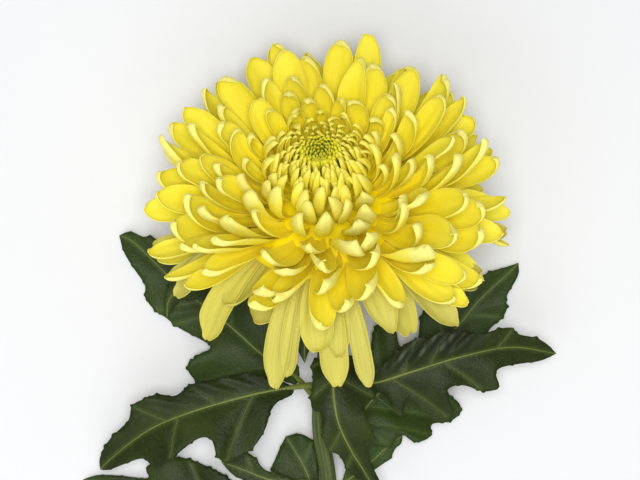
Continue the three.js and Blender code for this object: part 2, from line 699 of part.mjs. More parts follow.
function leafSolid(leaf) {
  const [joint, ...onwards] = leaf.midrib.map(vectorOf);
  const curve = new THREE.CatmullRomCurve3([onStem(joint), ...onwards]);
  const ribPoint = (step) => curve.getPointAt(mix(leaf.bladeFrom, 1, step / RIB_STEPS));
  const rib = Array.from({ length: RIB_STEPS + 1 }, (_, step) => ribPoint(step));
  const stalk = bar(curve, STALK_STEPS, STALK_SIDES, STALK_RADIUS, RIB_RADIUS, leaf.bladeFrom * STALK_REACH);
  return largestBody(wasm.Manifold.union([stalk, bladeSolid(leaf, rib)]).subtract(stem(CLEARANCE)));
}

const petalYellow = new THREE.MeshStandardMaterial({ color: 0xe6d428, roughness: 0.6, metalness: 0 });
const eyeGreen = new THREE.MeshStandardMaterial({ color: 0x9fa82a, roughness: 0.7, metalness: 0 });
const bractGreen = new THREE.MeshStandardMaterial({ color: 0x5d7034, roughness: 0.7, metalness: 0 });
const stemGreen = new THREE.MeshStandardMaterial({ color: 0x5f6e2d, roughness: 0.65, metalness: 0 });
const leafGreen = new THREE.MeshStandardMaterial({ color: 0x37482b, roughness: 0.5, metalness: 0 });

const flower = new THREE.Group();
flower.add(meshOf('ray_florets', rayFlorets(), petalYellow));
flower.add(meshOf('young_florets', youngFlorets(), eyeGreen));
flower.add(meshOf('involucre', involucre(), bractGreen));
flower.add(meshOf('stem', stem(), stemGreen));
LEAVES.forEach((leaf) => flower.add(meshOf(leaf.name, leafSolid(leaf), leafGreen)));

export default flower;
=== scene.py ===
"""Looks of a large double chrysanthemum that lies on its side. The tables are in millimetres."""

import math

import bpy
import numpy as np
from mathutils import Matrix, Vector
from mathutils.geometry import delaunay_2d_cdt


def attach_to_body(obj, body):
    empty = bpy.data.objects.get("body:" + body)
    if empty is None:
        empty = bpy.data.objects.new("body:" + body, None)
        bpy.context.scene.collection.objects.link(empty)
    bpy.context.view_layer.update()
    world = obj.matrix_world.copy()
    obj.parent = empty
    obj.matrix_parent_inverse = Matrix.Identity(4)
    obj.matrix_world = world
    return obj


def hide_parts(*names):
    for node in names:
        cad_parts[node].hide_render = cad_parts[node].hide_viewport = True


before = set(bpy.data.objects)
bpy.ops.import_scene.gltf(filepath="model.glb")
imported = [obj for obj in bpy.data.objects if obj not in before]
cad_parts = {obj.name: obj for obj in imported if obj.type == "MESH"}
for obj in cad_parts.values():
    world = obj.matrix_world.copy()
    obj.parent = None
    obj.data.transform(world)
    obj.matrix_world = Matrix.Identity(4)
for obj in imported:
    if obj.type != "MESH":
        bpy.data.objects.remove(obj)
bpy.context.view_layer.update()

MM = 0.001

# Bloom: the middle of its receptacle, how it leans, and the spiral in which its florets stand
RECEPTACLE = (3, -40, 55)
LEAN_DEGREES = 40
ROLL_DEGREES = 5
GOLDEN_ANGLE = 2.399963

# Florets by number from the eye out: number, root radius and height, bend radius and height, slopes at
# the root and at the bend, curl of the lip, its length, width and cupping
STAGES = np.array([
    (0, 1, 17, 2, 34, 85, 95, 10, 3, 2.4, 1.0),
    (40, 3, 16, 9, 33.5, 62, 108, 30, 4, 3.2, 1.0),
    (90, 5, 14, 15.5, 32, 40, 112, 35, 6.5, 4, 0.8),
    (130, 7, 12, 21.5, 31, 22, 108, 50, 8, 5, 0.8),
    (150, 8, 11, 26, 30, 12, 98, 85, 9, 7.6, 0.9),
    (175, 10, 9, 37, 31, 5, 75, 110, 9, 12, 0.9),
    (202, 11, 6.5, 52, 32, 4, 60, 105, 9, 15, 0.85),
    (229, 12, 4, 63, 27, 4, 48, 95, 9.5, 15.5, 0.8),
    (261, 13, 2, 67, 11.5, 6, 25, 80, 10, 15, 0.75),
    (292, 13.5, 0, 66, -9, 8, -5, 60, 10, 14, 0.7),
    (318, 14, -1, 61, -24, 10, -38, 45, 9, 13, 0.7),
])
# Outer florets with a place of their own: degrees round the bloom, bend radius and height, slope at
# the bend, curl of the lip, its length and width
HANGING = [
    (-171, 67, -8, -12, 60, 9, 9),
    (-165, 64, -16, -20, 50, 9, 9),
    (-159, 64, -17, -45, 20, 9, 13),
    (-139, 64, -20, -58, 20, 10, 15),
    (-134, 53, -9, -32, 60, 9, 18),
    (-124, 50, -14, -35, 60, 9, 20),
    (-110, 70, -24, -55, 10, 9, 13),
    (-105, 67, -19, -55, 10, 8, 9),
    (-95, 59, -12, -48, 50, 9, 16),
    (-89, 67, -26, -58, 20, 8, 13),
    (-85, 60, -16, -52, 60, 8, 11),
    (-79, 68, -25, -58, 10, 9, 9),
    (-67, 58, -8, -42, 30, 9, 15),
    (-57, 53, -21, -36, 10, 10, 18),
    (-46, 64, -17, -30, 20, 10, 14),
    (-35, 60, -17, -30, 20, 10, 13),
    (-20, 59, -22, -12, 60, 10, 9),
    (-20, 57, -30, -20, 60, 10, 10),
    (-11, 68, -11, 5, 30, 9, 12),
    (71, 63, -28, -25, 5, 10, 16),
    (91, 66, -19, -22, 5, 9, 18),
    (112, 63, -28, -25, 5, 10, 16),
]
# The florets of these rows are numbered from this far past the last stage
HANGING_FROM = 40
# Most that one of them leans to a side, in millimetres, and twists, in radians
OUTER_LEAN = 3
OUTER_TWIST = 0.3
# Where most of them hang, between these degrees, the spiral leaves out its florets from this number on
LOOSE_FROM = 272
LOOSE_CLOCKS = (-152, -52)

# How much each measure of a floret varies: turn and twist in radians, reach in degrees, bend_h and lean
# in millimetres, the others as shares. Before the first number nothing varies, after the second all.
SPREAD = {
    "turn": 0.09, "bend_r": 0.05, "bend_h": 3.5, "reach": 20, "curl": 0.6, "width": 0.16, "cup": 0.2,
    "lean": 6, "twist": 0.85,
}
SPREAD_OVER = (40, 150)
# Degrees that the small florets above the eye curl further, and the numbers where that sets in and ends
NOD = 90
NOD_FROM = (40, 70)
NOD_TO = (130, 180)
# From the first number to the second, small hooded florets turn into broad spoons with a rolled rim
SPOON_OVER = (120, 175)

# Floret's spine: how far it keeps its slopes at the root and the bend, and its share of the curl, the
# rest of which rolls the rim
ROOT_PULL = 0.45
BEND_PULL = 0.3
SPINE_CURL = 0.5
SPINE_STEPS = 60
LIP_STEPS = 20
# Floret's blade: where it starts, how narrow its foot is and where it widens, how much more cupped the
# foot is and up to where, and how long the rounded end may be. Places are shares of the length.
PETAL_START = 0.12
FOOT_SHARE = 0.3
FOOT_WIDENS = (0.1, 0.72)
FOOT_CUP = 1.5
FOOT_CUP_TO = 0.5
LONGEST_END = 0.45
# Share of a floret's rows that lie before its rounded end, and how rows and columns crowd at the edges
BODY_ROWS = 0.55
TIP_CROWDING = 0.975
SIDE_CROWDING = 0.85
EDGE_COLUMN = 0.975
PETAL_THICKNESS = 0.6
# Florets narrower than this are thinner too
FULL_WIDTH = 6
# How much the roll of a rim varies along it, and how high the edges wave against the width
UNEVEN_ROLL = 0.22
EDGE_WAVE = 0.05

# Core that the florets stand out of, as radius and height pairs
CORE_LINE = [(9, -1), (24, -3), (35, -4), (40, 1), (36, 8), (27, 13), (19, 17), (13, 20), (8.5, 24)]

# Rings of florets that share a piece: name, first and last number, how many florets, how wide they
# are against their stage, and steps along and across
RINGS = [
    ("florets_button", 40, 150, 120, 0.92, 20, 10),
    ("florets_spoons", 150, 232, 82, 1.0, 30, 18),
    ("florets_outer", 232, 318, 86, 1.0, 28, 16),
]

# Eye: its young florets, the radius that they fill, the height of their roots, and the domed floor
# between them as radius and height pairs
EYE_FLORETS = 90
EYE_RADIUS = 9
EYE_FLOOR = 27
EYE_DOME = [(0, 5.2), (3, 5.1), (6, 4.8), (8.4, 3.8), (8.4, -3)]
EYE_SIDES = 40
TURNED_SIDES = 48

# Leaves: the midrib from the stem to the tip, the share of it at which the blade starts, how steeply
# each half rises outwards, how strongly each folds unless both do plainly, how fresh its green is, and
# the two margins from the base to the tip as seen from above
LEAVES = {
    "leaf_left_upper": dict(
        midrib=[(-4.4, -124, 15.5), (-12, -112, 12), (-25, -104, 8), (-40, -91, 5.5), (-53, -81, 4.5),
                (-67, -69, 4), (-83, -54, 2.5), (-88, -52, 1.5)],
        blade_from=0.12, rises=(0.02, 0.05), shade=0.55,
        sides=[
            [(-10, -117), (-17, -115), (-24, -120), (-36, -123), (-48, -121), (-54, -116), (-58, -110),
             (-56, -105), (-47, -101), (-53, -97), (-57, -95), (-64, -91), (-67, -88), (-72, -85),
             (-77, -78), (-76, -75), (-81, -67), (-86, -59)],
            [(-9, -110), (-12, -102), (-10, -92), (-18, -86), (-28, -88), (-30, -78), (-38, -70),
             (-46, -74), (-52, -70), (-54, -60), (-62, -56), (-67, -57), (-74, -52), (-77, -53),
             (-83, -50)],
        ],
    ),
    "leaf_left_lower": dict(
        midrib=[(-4.3, -116, 21.5), (-14, -117.5, 26.5), (-28, -120, 29), (-56, -128, 28),
                (-74, -136, 22), (-94, -152, 11), (-95.5, -154, 10)],
        blade_from=0.12, rises=(0.25, 0.02), folds=(1, 2.2),
        sides=[
            [(-11, -120), (-18, -123), (-21, -127), (-23, -134), (-29, -143), (-40, -149), (-44, -146),
             (-46, -139), (-50, -138), (-58, -143), (-64, -148), (-72, -152), (-75, -148), (-85, -151),
             (-92, -154)],
            [(-15, -115), (-25, -113), (-32, -111), (-42, -113), (-56, -116), (-62, -121), (-70, -120),
             (-75, -122), (-81, -125), (-82, -131), (-89, -138), (-93, -143), (-96, -150)],
        ],
    ),
    "leaf_right_upper": dict(
        midrib=[(4.6, -140, 13), (16, -131.5, 10), (23.5, -123, 7.5), (39, -109, 5.5), (59, -93, 4.5),
                (69, -81, 4), (83, -68, 2.5), (87, -64, 1.5)],
        blade_from=0.12, rises=(0.05, 0.02), shade=0.6,
        sides=[
            [(14, -125), (15, -115), (21, -111), (22, -102), (24, -92), (29, -88), (33, -92), (35, -101),
             (42, -99), (44, -88), (49, -77), (54, -73), (57, -78), (64, -75), (74, -68), (81, -66)],
            [(17, -136), (24, -143), (31, -144), (35, -138), (41, -142), (49, -139), (48, -134.5),
             (57, -133.5), (62, -128), (57, -121), (50, -114), (60, -110), (70, -102), (74, -93),
             (80, -88), (82, -83), (81, -80), (87, -69)],
        ],
    ),
    "leaf_right_front": dict(
        midrib=[(5.2, -116, 20.5), (12, -115.5, 25), (24, -115, 28), (37, -111, 30), (60, -104, 30),
                (82, -100, 26), (102, -103, 20)],
        blade_from=0.14, rises=(0.3, -0.05), folds=(3, 1),
        sides=[
            [(19, -112), (25, -109), (33, -101), (41, -96), (47, -95), (53, -92.5), (60, -92), (68, -94),
             (76, -92), (83, -91.5), (84, -94), (93, -96), (98, -99)],
            [(20, -119), (28, -120), (30, -124), (35, -130), (37, -122), (44, -127), (49, -131),
             (56, -131), (57, -127), (54, -118), (61, -116), (70, -119), (77, -117), (75, -110),
             (87, -107), (95, -106)],
        ],
    ),
    "leaf_middle": dict(
        midrib=[(4.8, -96, 27.5), (5.5, -102, 34), (5.5, -111, 39), (6, -122, 41), (8, -132, 40),
                (13, -143, 36.5), (19, -153, 31), (25, -164, 23.5), (28, -170, 19)],
        blade_from=0.14, rises=(-0.15, -0.15),
        sides=[
            [(1, -105), (-2, -104), (-4, -108), (-3, -111), (-4, -121), (-3, -127), (0, -126), (1, -137),
             (4, -144), (8, -145), (11, -151), (16, -156), (22, -163)],
            [(10, -103), (17, -104), (20, -110), (24, -121), (19, -123), (21, -132), (24, -139),
             (21, -142), (22, -149), (25, -156), (28, -162)],
        ],
    ),
    "leaf_stem_left": dict(
        midrib=[(1.6, -173, 8.5), (-2, -164, 5.5), (-7, -153, 4.5), (-13, -143, 3.5), (-15, -140, 3)],
        blade_from=0.1, rises=(0.03, 0.03), shade=0.5,
        sides=[
            [(-6, -170), (-14, -168), (-18, -163), (-22, -160), (-21, -154), (-18, -146)],
            [(0, -162), (-0.5, -155), (-1, -148), (-3, -142), (-9, -138.5)],
        ],
    ),
    "leaf_left_bottom": dict(
        midrib=[(2.6, -192, 6.5), (-10, -184, 5.5), (-30, -175, 4.5), (-54, -168, 4), (-80, -162, 3),
                (-104, -159, 1.5)],
        blade_from=0.16, rises=(0.02, 0.04),
        sides=[
            [(-15, -186), (-24, -192), (-32, -190), (-36, -182), (-46, -186), (-56, -184), (-60, -176),
             (-70, -178), (-76, -172), (-88, -169), (-96, -163)],
            [(-14, -178), (-22, -170), (-32, -166), (-41, -157), (-48, -153.5), (-57, -150), (-64, -149),
             (-77, -154), (-74, -158), (-89, -157), (-98, -157)],
        ],
    ),
    "leaf_left_tip": dict(
        midrib=[(0, -160, 12.5), (-10, -159, 12.5), (-22, -158, 12), (-33, -154, 11), (-43, -150.5, 10)],
        blade_from=0.25, rises=(0.05, 0.05),
        sides=[
            [(-15, -162), (-22, -165), (-28, -163), (-32, -159), (-38, -156)],
            [(-14, -157), (-20, -155), (-24, -154), (-28, -149), (-32, -146), (-38, -147)],
        ],
    ),
    "leaf_right_lower": dict(
        midrib=[(7.4, -163, 10.5), (13, -158, 8), (22, -151, 6.5), (30, -144, 5), (36, -139.5, 4)],
        blade_from=0.15, rises=(0.02, 0.04), shade=1.0,
        sides=[
            [(11, -155), (13, -147), (20, -141), (27, -139), (32, -138)],
            [(16, -160), (24, -154), (31, -149), (33, -144.5), (36, -143)],
        ],
    ),
    "leaf_neck_left": dict(
        midrib=[(0.6, -72, 31), (-14, -70, 30), (-30, -68, 25), (-46, -69, 18), (-60, -74, 13.5),
                (-66, -81, 11), (-66.5, -88, 10)],
        blade_from=0.2, rises=(-0.1, -0.1),
        sides=[
            [(-20, -74), (-30, -77), (-38, -80), (-46, -79), (-54, -80), (-60, -80), (-64, -84)],
            [(-20, -64), (-30, -60), (-40, -60), (-48, -63), (-58, -67), (-66, -74), (-68, -82)],
        ],
    ),
    "leaf_neck_front": dict(
        midrib=[(1.4, -78, 28.5), (-3, -82, 30), (-5.5, -90, 31), (-6.5, -99, 30), (-6.5, -107, 28)],
        blade_from=0.2, rises=(-0.15, -0.15),
        sides=[
            [(-8, -84), (-10.5, -89), (-11, -96), (-10, -100)],
            [(-1, -85), (-1, -90), (-3, -97), (-5, -102)],
        ],
    ),
}
PLAIN_FOLDS = (1, 1)
PLAIN_SHADE = 0.1
# Waves of a blade: how far its folds slant forwards, their spacing and height, and how it droops
VEIN_SLANT = 0.45
WAVE_LENGTH = 4.2
WAVE_SHARE = 1 / 16
DROOP = 1 / 420
# Tight folds of a folded half: their height, spacing and slant, and where along it they begin and end
CRIMP_HEIGHT = 1.3
CRIMP_LENGTH = 10
CRIMP_SLANT = 1.5
CRIMP_SETS_IN = (0.03, 0.12)
CRIMP_ENDS = (0.5, 0.75)
LEAF_THICKNESS = 0.6
LEAF_GRID = 1.5
# Height of one row of a triangular grid against its spacing
ROW_HEIGHT = 0.87
WHOLE_STEPS = 200
RIB_STEPS = 90
MARGIN_STEP = 0.8
MARGIN_SOFTNESS = 1.6
# Corners this far from the midrib get a tooth, and side veins run to those this far from it
TOOTH_FROM = 3
LOBE_FROM = 5
TOOTH_HEIGHT = 0.9
TOOTH_WIDTH = 0.75
SMALL_TOOTH_HEIGHT = 0.5
SMALL_TOOTH_STEP = 8.5
# How the blade swells between its veins, and how wide a vein's colour spreads
PUFF_HEIGHT = 0.7
PUFF_WIDTH = 3.0
VEIN_WIDTH = 0.9
# Radii of the stalk, of the midrib at both its ends, of what the stalk swells by at its joint with the
# stem, and of a side vein at both its ends
STALK_RADIUS = 1.25
RIB_RADII = (0.85, 0.2)
JOINT_SWELL = 0.7
VEIN_RADII = (0.28, 0.1)

# Stem: its middle line below the neck, radii at the neck and at the cut end, and its ribs
STEM_LINE = [
    (4.6, -56, 37), (5, -69, 28.5), (4, -88, 23.5), (0.5, -117, 19.5), (0, -136, 16.2), (3, -154, 12.8),
    (6, -187, 7.6), (7, -217, 3.4),
]
STEM_TOP = -13.35
STEM_STRAIGHT = -17
NECK_RADIUS = 3.1
CUT_RADIUS = 3.7
PITH_RADII = (3.0, 2.9)
STEM_RIBS = 7
RIB_SHARE = 0.045

# Involucre: its cup as radius and height pairs, and its rows of bracts: how many, radius and height of
# their feet and of their tips, and half their width. Bracts sag along their middle and are cupped.
CUP_LINE = [(3.4, -13), (5.5, -12.2), (8, -10), (10.5, -7.6), (13, -5.2), (14.6, -3.6), (13.5, -3.35)]
BRACT_ROWS = [
    (11, 7.2, -10.6, 14.0, -6.9, 2.5), (12, 9.4, -8.8, 17.2, -5.6, 2.7), (13, 11.5, -6.9, 19.5, -4.7, 2.8),
]
BRACT_SAG = 0.9
BRACT_CUP = 0.25
BRACT_THICKNESS = 0.6

# Floor, lights and camera, in metres and watts: each light's place, target, size and power
FLOOR_HALF = 4.0
FLOOR_DROP = 0.0002
WORLD_STRENGTH = 0.34
LIGHTS = {
    "key": ((-0.3, -1.0, 1.0), (0, -0.03, 0.05), 1.5, 9),
    "front": ((0, -0.054, 1.9), (0, -0.054, 0), 0.6, 26),
}
CAMERA_PLACE = (0, -0.054, 1.165)
LENS = 149.3


def draw(number, question, low, high):
    """A number between two limits that depends only on which piece asks and on what it asks for."""
    value = math.sin(number * 12.9898 + question * 78.233) * 43758.5453
    return low + (high - low) * (value - math.floor(value))


def smoothstep(value, low, high):
    share = np.clip((value - low) / (high - low), 0, 1)
    return share * share * (3 - 2 * share)


def mix(low, high, share):
    return low + (high - low) * share


BLOOM_TURN = np.array(
    Matrix.Rotation(-math.radians(LEAN_DEGREES), 3, "X")
    @ Matrix.Rotation(-math.radians(ROLL_DEGREES), 3, "Y")
)


def in_bloom(points):
    """Points given about the bloom's axis, placed where the bloom stands."""
    return points @ BLOOM_TURN.T + np.array(RECEPTACLE)


def lengths_along(line):
    """Length of a polyline up to each of its points."""
    return np.concatenate([[0], np.cumsum(np.linalg.norm(np.diff(line, axis=0), axis=1))])


def ring_angles(sides, closing=0):
    return np.arange(sides + closing) / sides * 2 * math.pi


def turned(line, angles):
    """Points of a line of radius and height pairs, turned round the bloom's axis."""
    radius, height = np.array(line, float).T[:, :, None]
    points = np.broadcast_arrays(radius * np.cos(angles), radius * np.sin(angles), height)
    return np.stack(points, -1).reshape(-1, 3)


def flat_places(across, along):
    """Two numbers for each point of a grid, for the grain of its material."""
    return np.stack(np.broadcast_arrays(across, along), -1).reshape(-1, 2)


def grid_faces(grid, flip=False):
    """Faces between the neighbouring points of a grid."""
    corners = [grid[:-1, :-1], grid[:-1, 1:], grid[1:, 1:], grid[1:, :-1]]
    if flip:
        corners.reverse()
    return np.stack(corners, -1).reshape(-1, 4).tolist()


def tube_faces(rings, sides):
    """Faces of a closed tube: its points are its rings, then the middles of its first and last ring."""
    grid = np.arange(rings * sides).reshape(rings, sides)
    after = np.roll(grid, -1, axis=1)
    quads = np.stack([grid[:-1], after[:-1], after[1:], grid[1:]], -1).reshape(-1, 4).tolist()
    first = rings * sides
    last = first + 1
    caps = [[first, after[0, k], grid[0, k]] for k in range(sides)]
    caps += [[last, grid[-1, k], after[-1, k]] for k in range(sides)]
    return quads + caps


class Mesh:
    """Points, faces and named values of a piece while it is being gathered."""

    def __init__(self):
        self.points = []
        self.faces = []
        self.values = {}
        self.maps = []
        self.count = 0

    def add(self, points, faces, values, flat):
        """Adds points in millimetres, with named values and two flat coordinates for each."""
        self.points.append(np.asarray(points, float))
        self.faces.extend([[self.count + corner for corner in face] for face in faces])
        for key, value in values.items():
            self.values.setdefault(key, []).append(np.broadcast_to(value, (len(points),)))
        self.maps.append(np.asarray(flat, float))
        self.count += len(points)

    def build(self, name, material):
        mesh = bpy.data.meshes.new(name)
        points = np.concatenate(self.points) * MM
        mesh.from_pydata(points.tolist(), [], self.faces)
        for key, parts in self.values.items():
            layer = mesh.attributes.new(key, "FLOAT", "POINT")
            layer.data.foreach_set("value", np.concatenate(parts).astype(np.float32))
        corners = np.empty(len(mesh.loops), np.int32)
        mesh.loops.foreach_get("vertex_index", corners)
        layer = mesh.uv_layers.new(name="length")
        layer.data.foreach_set("uv", np.concatenate(self.maps)[corners].astype(np.float32).ravel())
        mesh.shade_smooth()
        mesh.materials.append(material)
        mesh.update()
        piece = bpy.data.objects.new(name, mesh)
        bpy.context.scene.collection.objects.link(piece)
        return piece


def add_sheet(mesh, face, back, inner, values, whole_values, flat):
    """Closed sheet from two grids of points that share their border."""
    hidden = inner.reshape(-1)
    index = np.arange(inner.size).reshape(inner.shape)
    behind = index.copy()
    behind[inner] = inner.size + np.arange(hidden.sum())
    both = {key: np.concatenate([value, value[hidden]]) for key, value in values.items()}
    mesh.add(
        np.concatenate([face, back[hidden]]),
        grid_faces(index) + grid_faces(behind, flip=True),
        {**both, **whole_values},
        np.concatenate([flat, flat[hidden]]),
    )


def inner_points(shape):
    """Which points of a grid lie inside its border."""
    inner = np.zeros(shape, bool)
    inner[1:-1, 1:-1] = True
    return inner


# Florets


def nod_of(number, turn):
    """How much further the small florets above the eye nod over it than the others, in degrees."""
    window = smoothstep(number, *NOD_FROM) * (1 - smoothstep(number, *NOD_TO))
    return NOD * float(window) * max(0, math.sin(turn))


def stage_at(number):
    """Measures of a floret by its number, without its own differences."""
    names = ("root_r", "root_h", "bend_r", "bend_h", "leave", "reach", "curl", "lip", "width", "cup")
    values = [float(np.interp(number, STAGES[:, 0], column)) for column in STAGES.T[1:]]
    return {"number": number, **dict(zip(names, values))}


def floret_at(number):
    """One floret's measures, with its own small differences from its stage."""
    looseness = float(smoothstep(number, *SPREAD_OVER))
    spread = {
        key: draw(number, question + 1, -amount, amount) * looseness
        for question, (key, amount) in enumerate(SPREAD.items())
    }
    floret = stage_at(number)
    for key in ("bend_r", "curl", "width", "cup"):
        floret[key] *= 1 + spread[key]
    for key in ("bend_h", "reach"):
        floret[key] += spread[key]
    floret.update(rim_of(number, floret["curl"], floret["lip"]))
    turn = number * GOLDEN_ANGLE + spread["turn"]
    floret["curl"] += nod_of(number, turn)
    return {**floret, "turn": turn, "lean": spread["lean"], "twist": spread["twist"]}


def rim_of(number, curl, lip):
    """How a floret ends: how long and how pointed its end is, and how its rim rolls in."""
    spoon = float(smoothstep(number, *SPOON_OVER))
    return {
        "end": mix(3.0, draw(number, 15, 1.7, 2.9), spoon),
        "taper": mix(0.72, draw(number, 16, 0.66, 1.0), spoon),
        "ridge": mix(0.014, draw(number, 24, 0.012, 0.035), spoon),
        "side_roll": mix(0.9, draw(number, 17, 0.15, 0.7), spoon),
        "tip_roll": mix(2.3, math.radians(abs(curl) * 0.9 + 20), spoon),
        "band": mix(2.1, 0.36 * lip + draw(number, 18, 0.2, 1.4), spoon),
        "notch": mix(0, max(0, draw(number, 19, -0.2, 0.3)), spoon),
        "ragged": mix(0.1, draw(number, 20, 0.15, 0.45), spoon),
    }


def outer_floret(row, order):
    """A floret from a row of its own, otherwise like the outermost stage."""
    clock, *measures = row
    last = STAGES[-1][0]
    floret = {**stage_at(last), **dict(zip(("bend_r", "bend_h", "reach", "curl", "lip", "width"), measures))}
    return {
        **floret,
        **rim_of(last + order, floret["curl"], floret["lip"]),
        "number": last + HANGING_FROM + order,
        "turn": math.radians(clock),
        "lean": draw(order, 1, -OUTER_LEAN, OUTER_LEAN),
        "twist": draw(order, 2, -OUTER_TWIST, OUTER_TWIST),
        "ridge": draw(order, 3, 0.03, 0.07),
        "end": draw(order, 4, 1.6, 2.6),
        "taper": draw(order, 5, 0.6, 0.9),
    }


def eye_floret(order):
    """A young floret of the eye: a short narrow scoop that leans in over the middle."""
    share = math.sqrt((order + 0.5) / EYE_FLORETS)
    radius = EYE_RADIUS * share
    return {
        "number": order * RINGS[0][1] / EYE_FLORETS,
        "root_r": radius * 0.9,
        "root_h": EYE_FLOOR,
        "bend_r": radius + 0.2,
        "bend_h": EYE_FLOOR + mix(5.6, 7.2, share) + draw(order, 21, -0.7, 0.7),
        "leave": 88,
        "reach": 94 + 14 * share,
        "curl": 50 + draw(order, 22, -15, 30),
        "lip": mix(1.4, 3.0, share),
        "width": mix(1.3, 2.5, share),
        "cup": 1.5,
        "turn": order * GOLDEN_ANGLE,
        "lean": draw(order, 23, -0.3, 0.3),
        "twist": draw(order, 24, -0.4, 0.4),
        **rim_of(0, 30, 2),
        "end": 1.6,
        "taper": 0.55,
        "band": 0.3,
        "ragged": 0,
        "thickness": 1.0,
    }


def spine_of(floret):
    """Length along a floret's spine, with the radius, height and slope at each of its points."""
    root = np.array([floret["root_r"], floret["root_h"]])
    bend = np.array([floret["bend_r"], floret["bend_h"]])
    span = np.linalg.norm(bend - root)
    leave, reach, curl = (math.radians(floret[key]) for key in ("leave", "reach", "curl"))
    curl *= SPINE_CURL
    first = root + ROOT_PULL * span * np.array([math.cos(leave), math.sin(leave)])
    second = bend - BEND_PULL * span * np.array([math.cos(reach), math.sin(reach)])
    t = np.linspace(0, 1, SPINE_STEPS)[:, None]
    rest = 1 - t
    curve = rest ** 3 * root + 3 * rest ** 2 * t * first + 3 * rest * t ** 2 * second + t ** 3 * bend
    pull = rest ** 2 * (first - root) + 2 * rest * t * (second - first) + t ** 2 * (bend - second)
    slope = np.arctan2(pull[:, 1], pull[:, 0])
    angle = reach + curl * np.linspace(1 / LIP_STEPS, 1, LIP_STEPS)
    radius = floret["lip"] / curl
    arc = np.stack([np.sin(angle) - math.sin(reach), math.cos(reach) - np.cos(angle)], -1) * radius + bend
    curve = np.concatenate([curve, arc])
    slope = np.concatenate([slope, angle])
    return lengths_along(curve), curve, slope


def places_across(steps):
    """Places across a floret from -1 to 1, closer together towards its edges."""
    inner = np.sin(np.linspace(-1, 1, steps - 1) * math.pi / 2 * SIDE_CROWDING)
    return np.concatenate([[-1], inner / math.sin(math.pi / 2 * SIDE_CROWDING) * EDGE_COLUMN, [1]])


def swung(first, second, angle):
    """Two directions turned by each point's angle in the plane that they span."""
    cosine, sine = np.cos(angle)[..., None], np.sin(angle)[..., None]
    return cosine * first + sine * second, cosine * second - sine * first


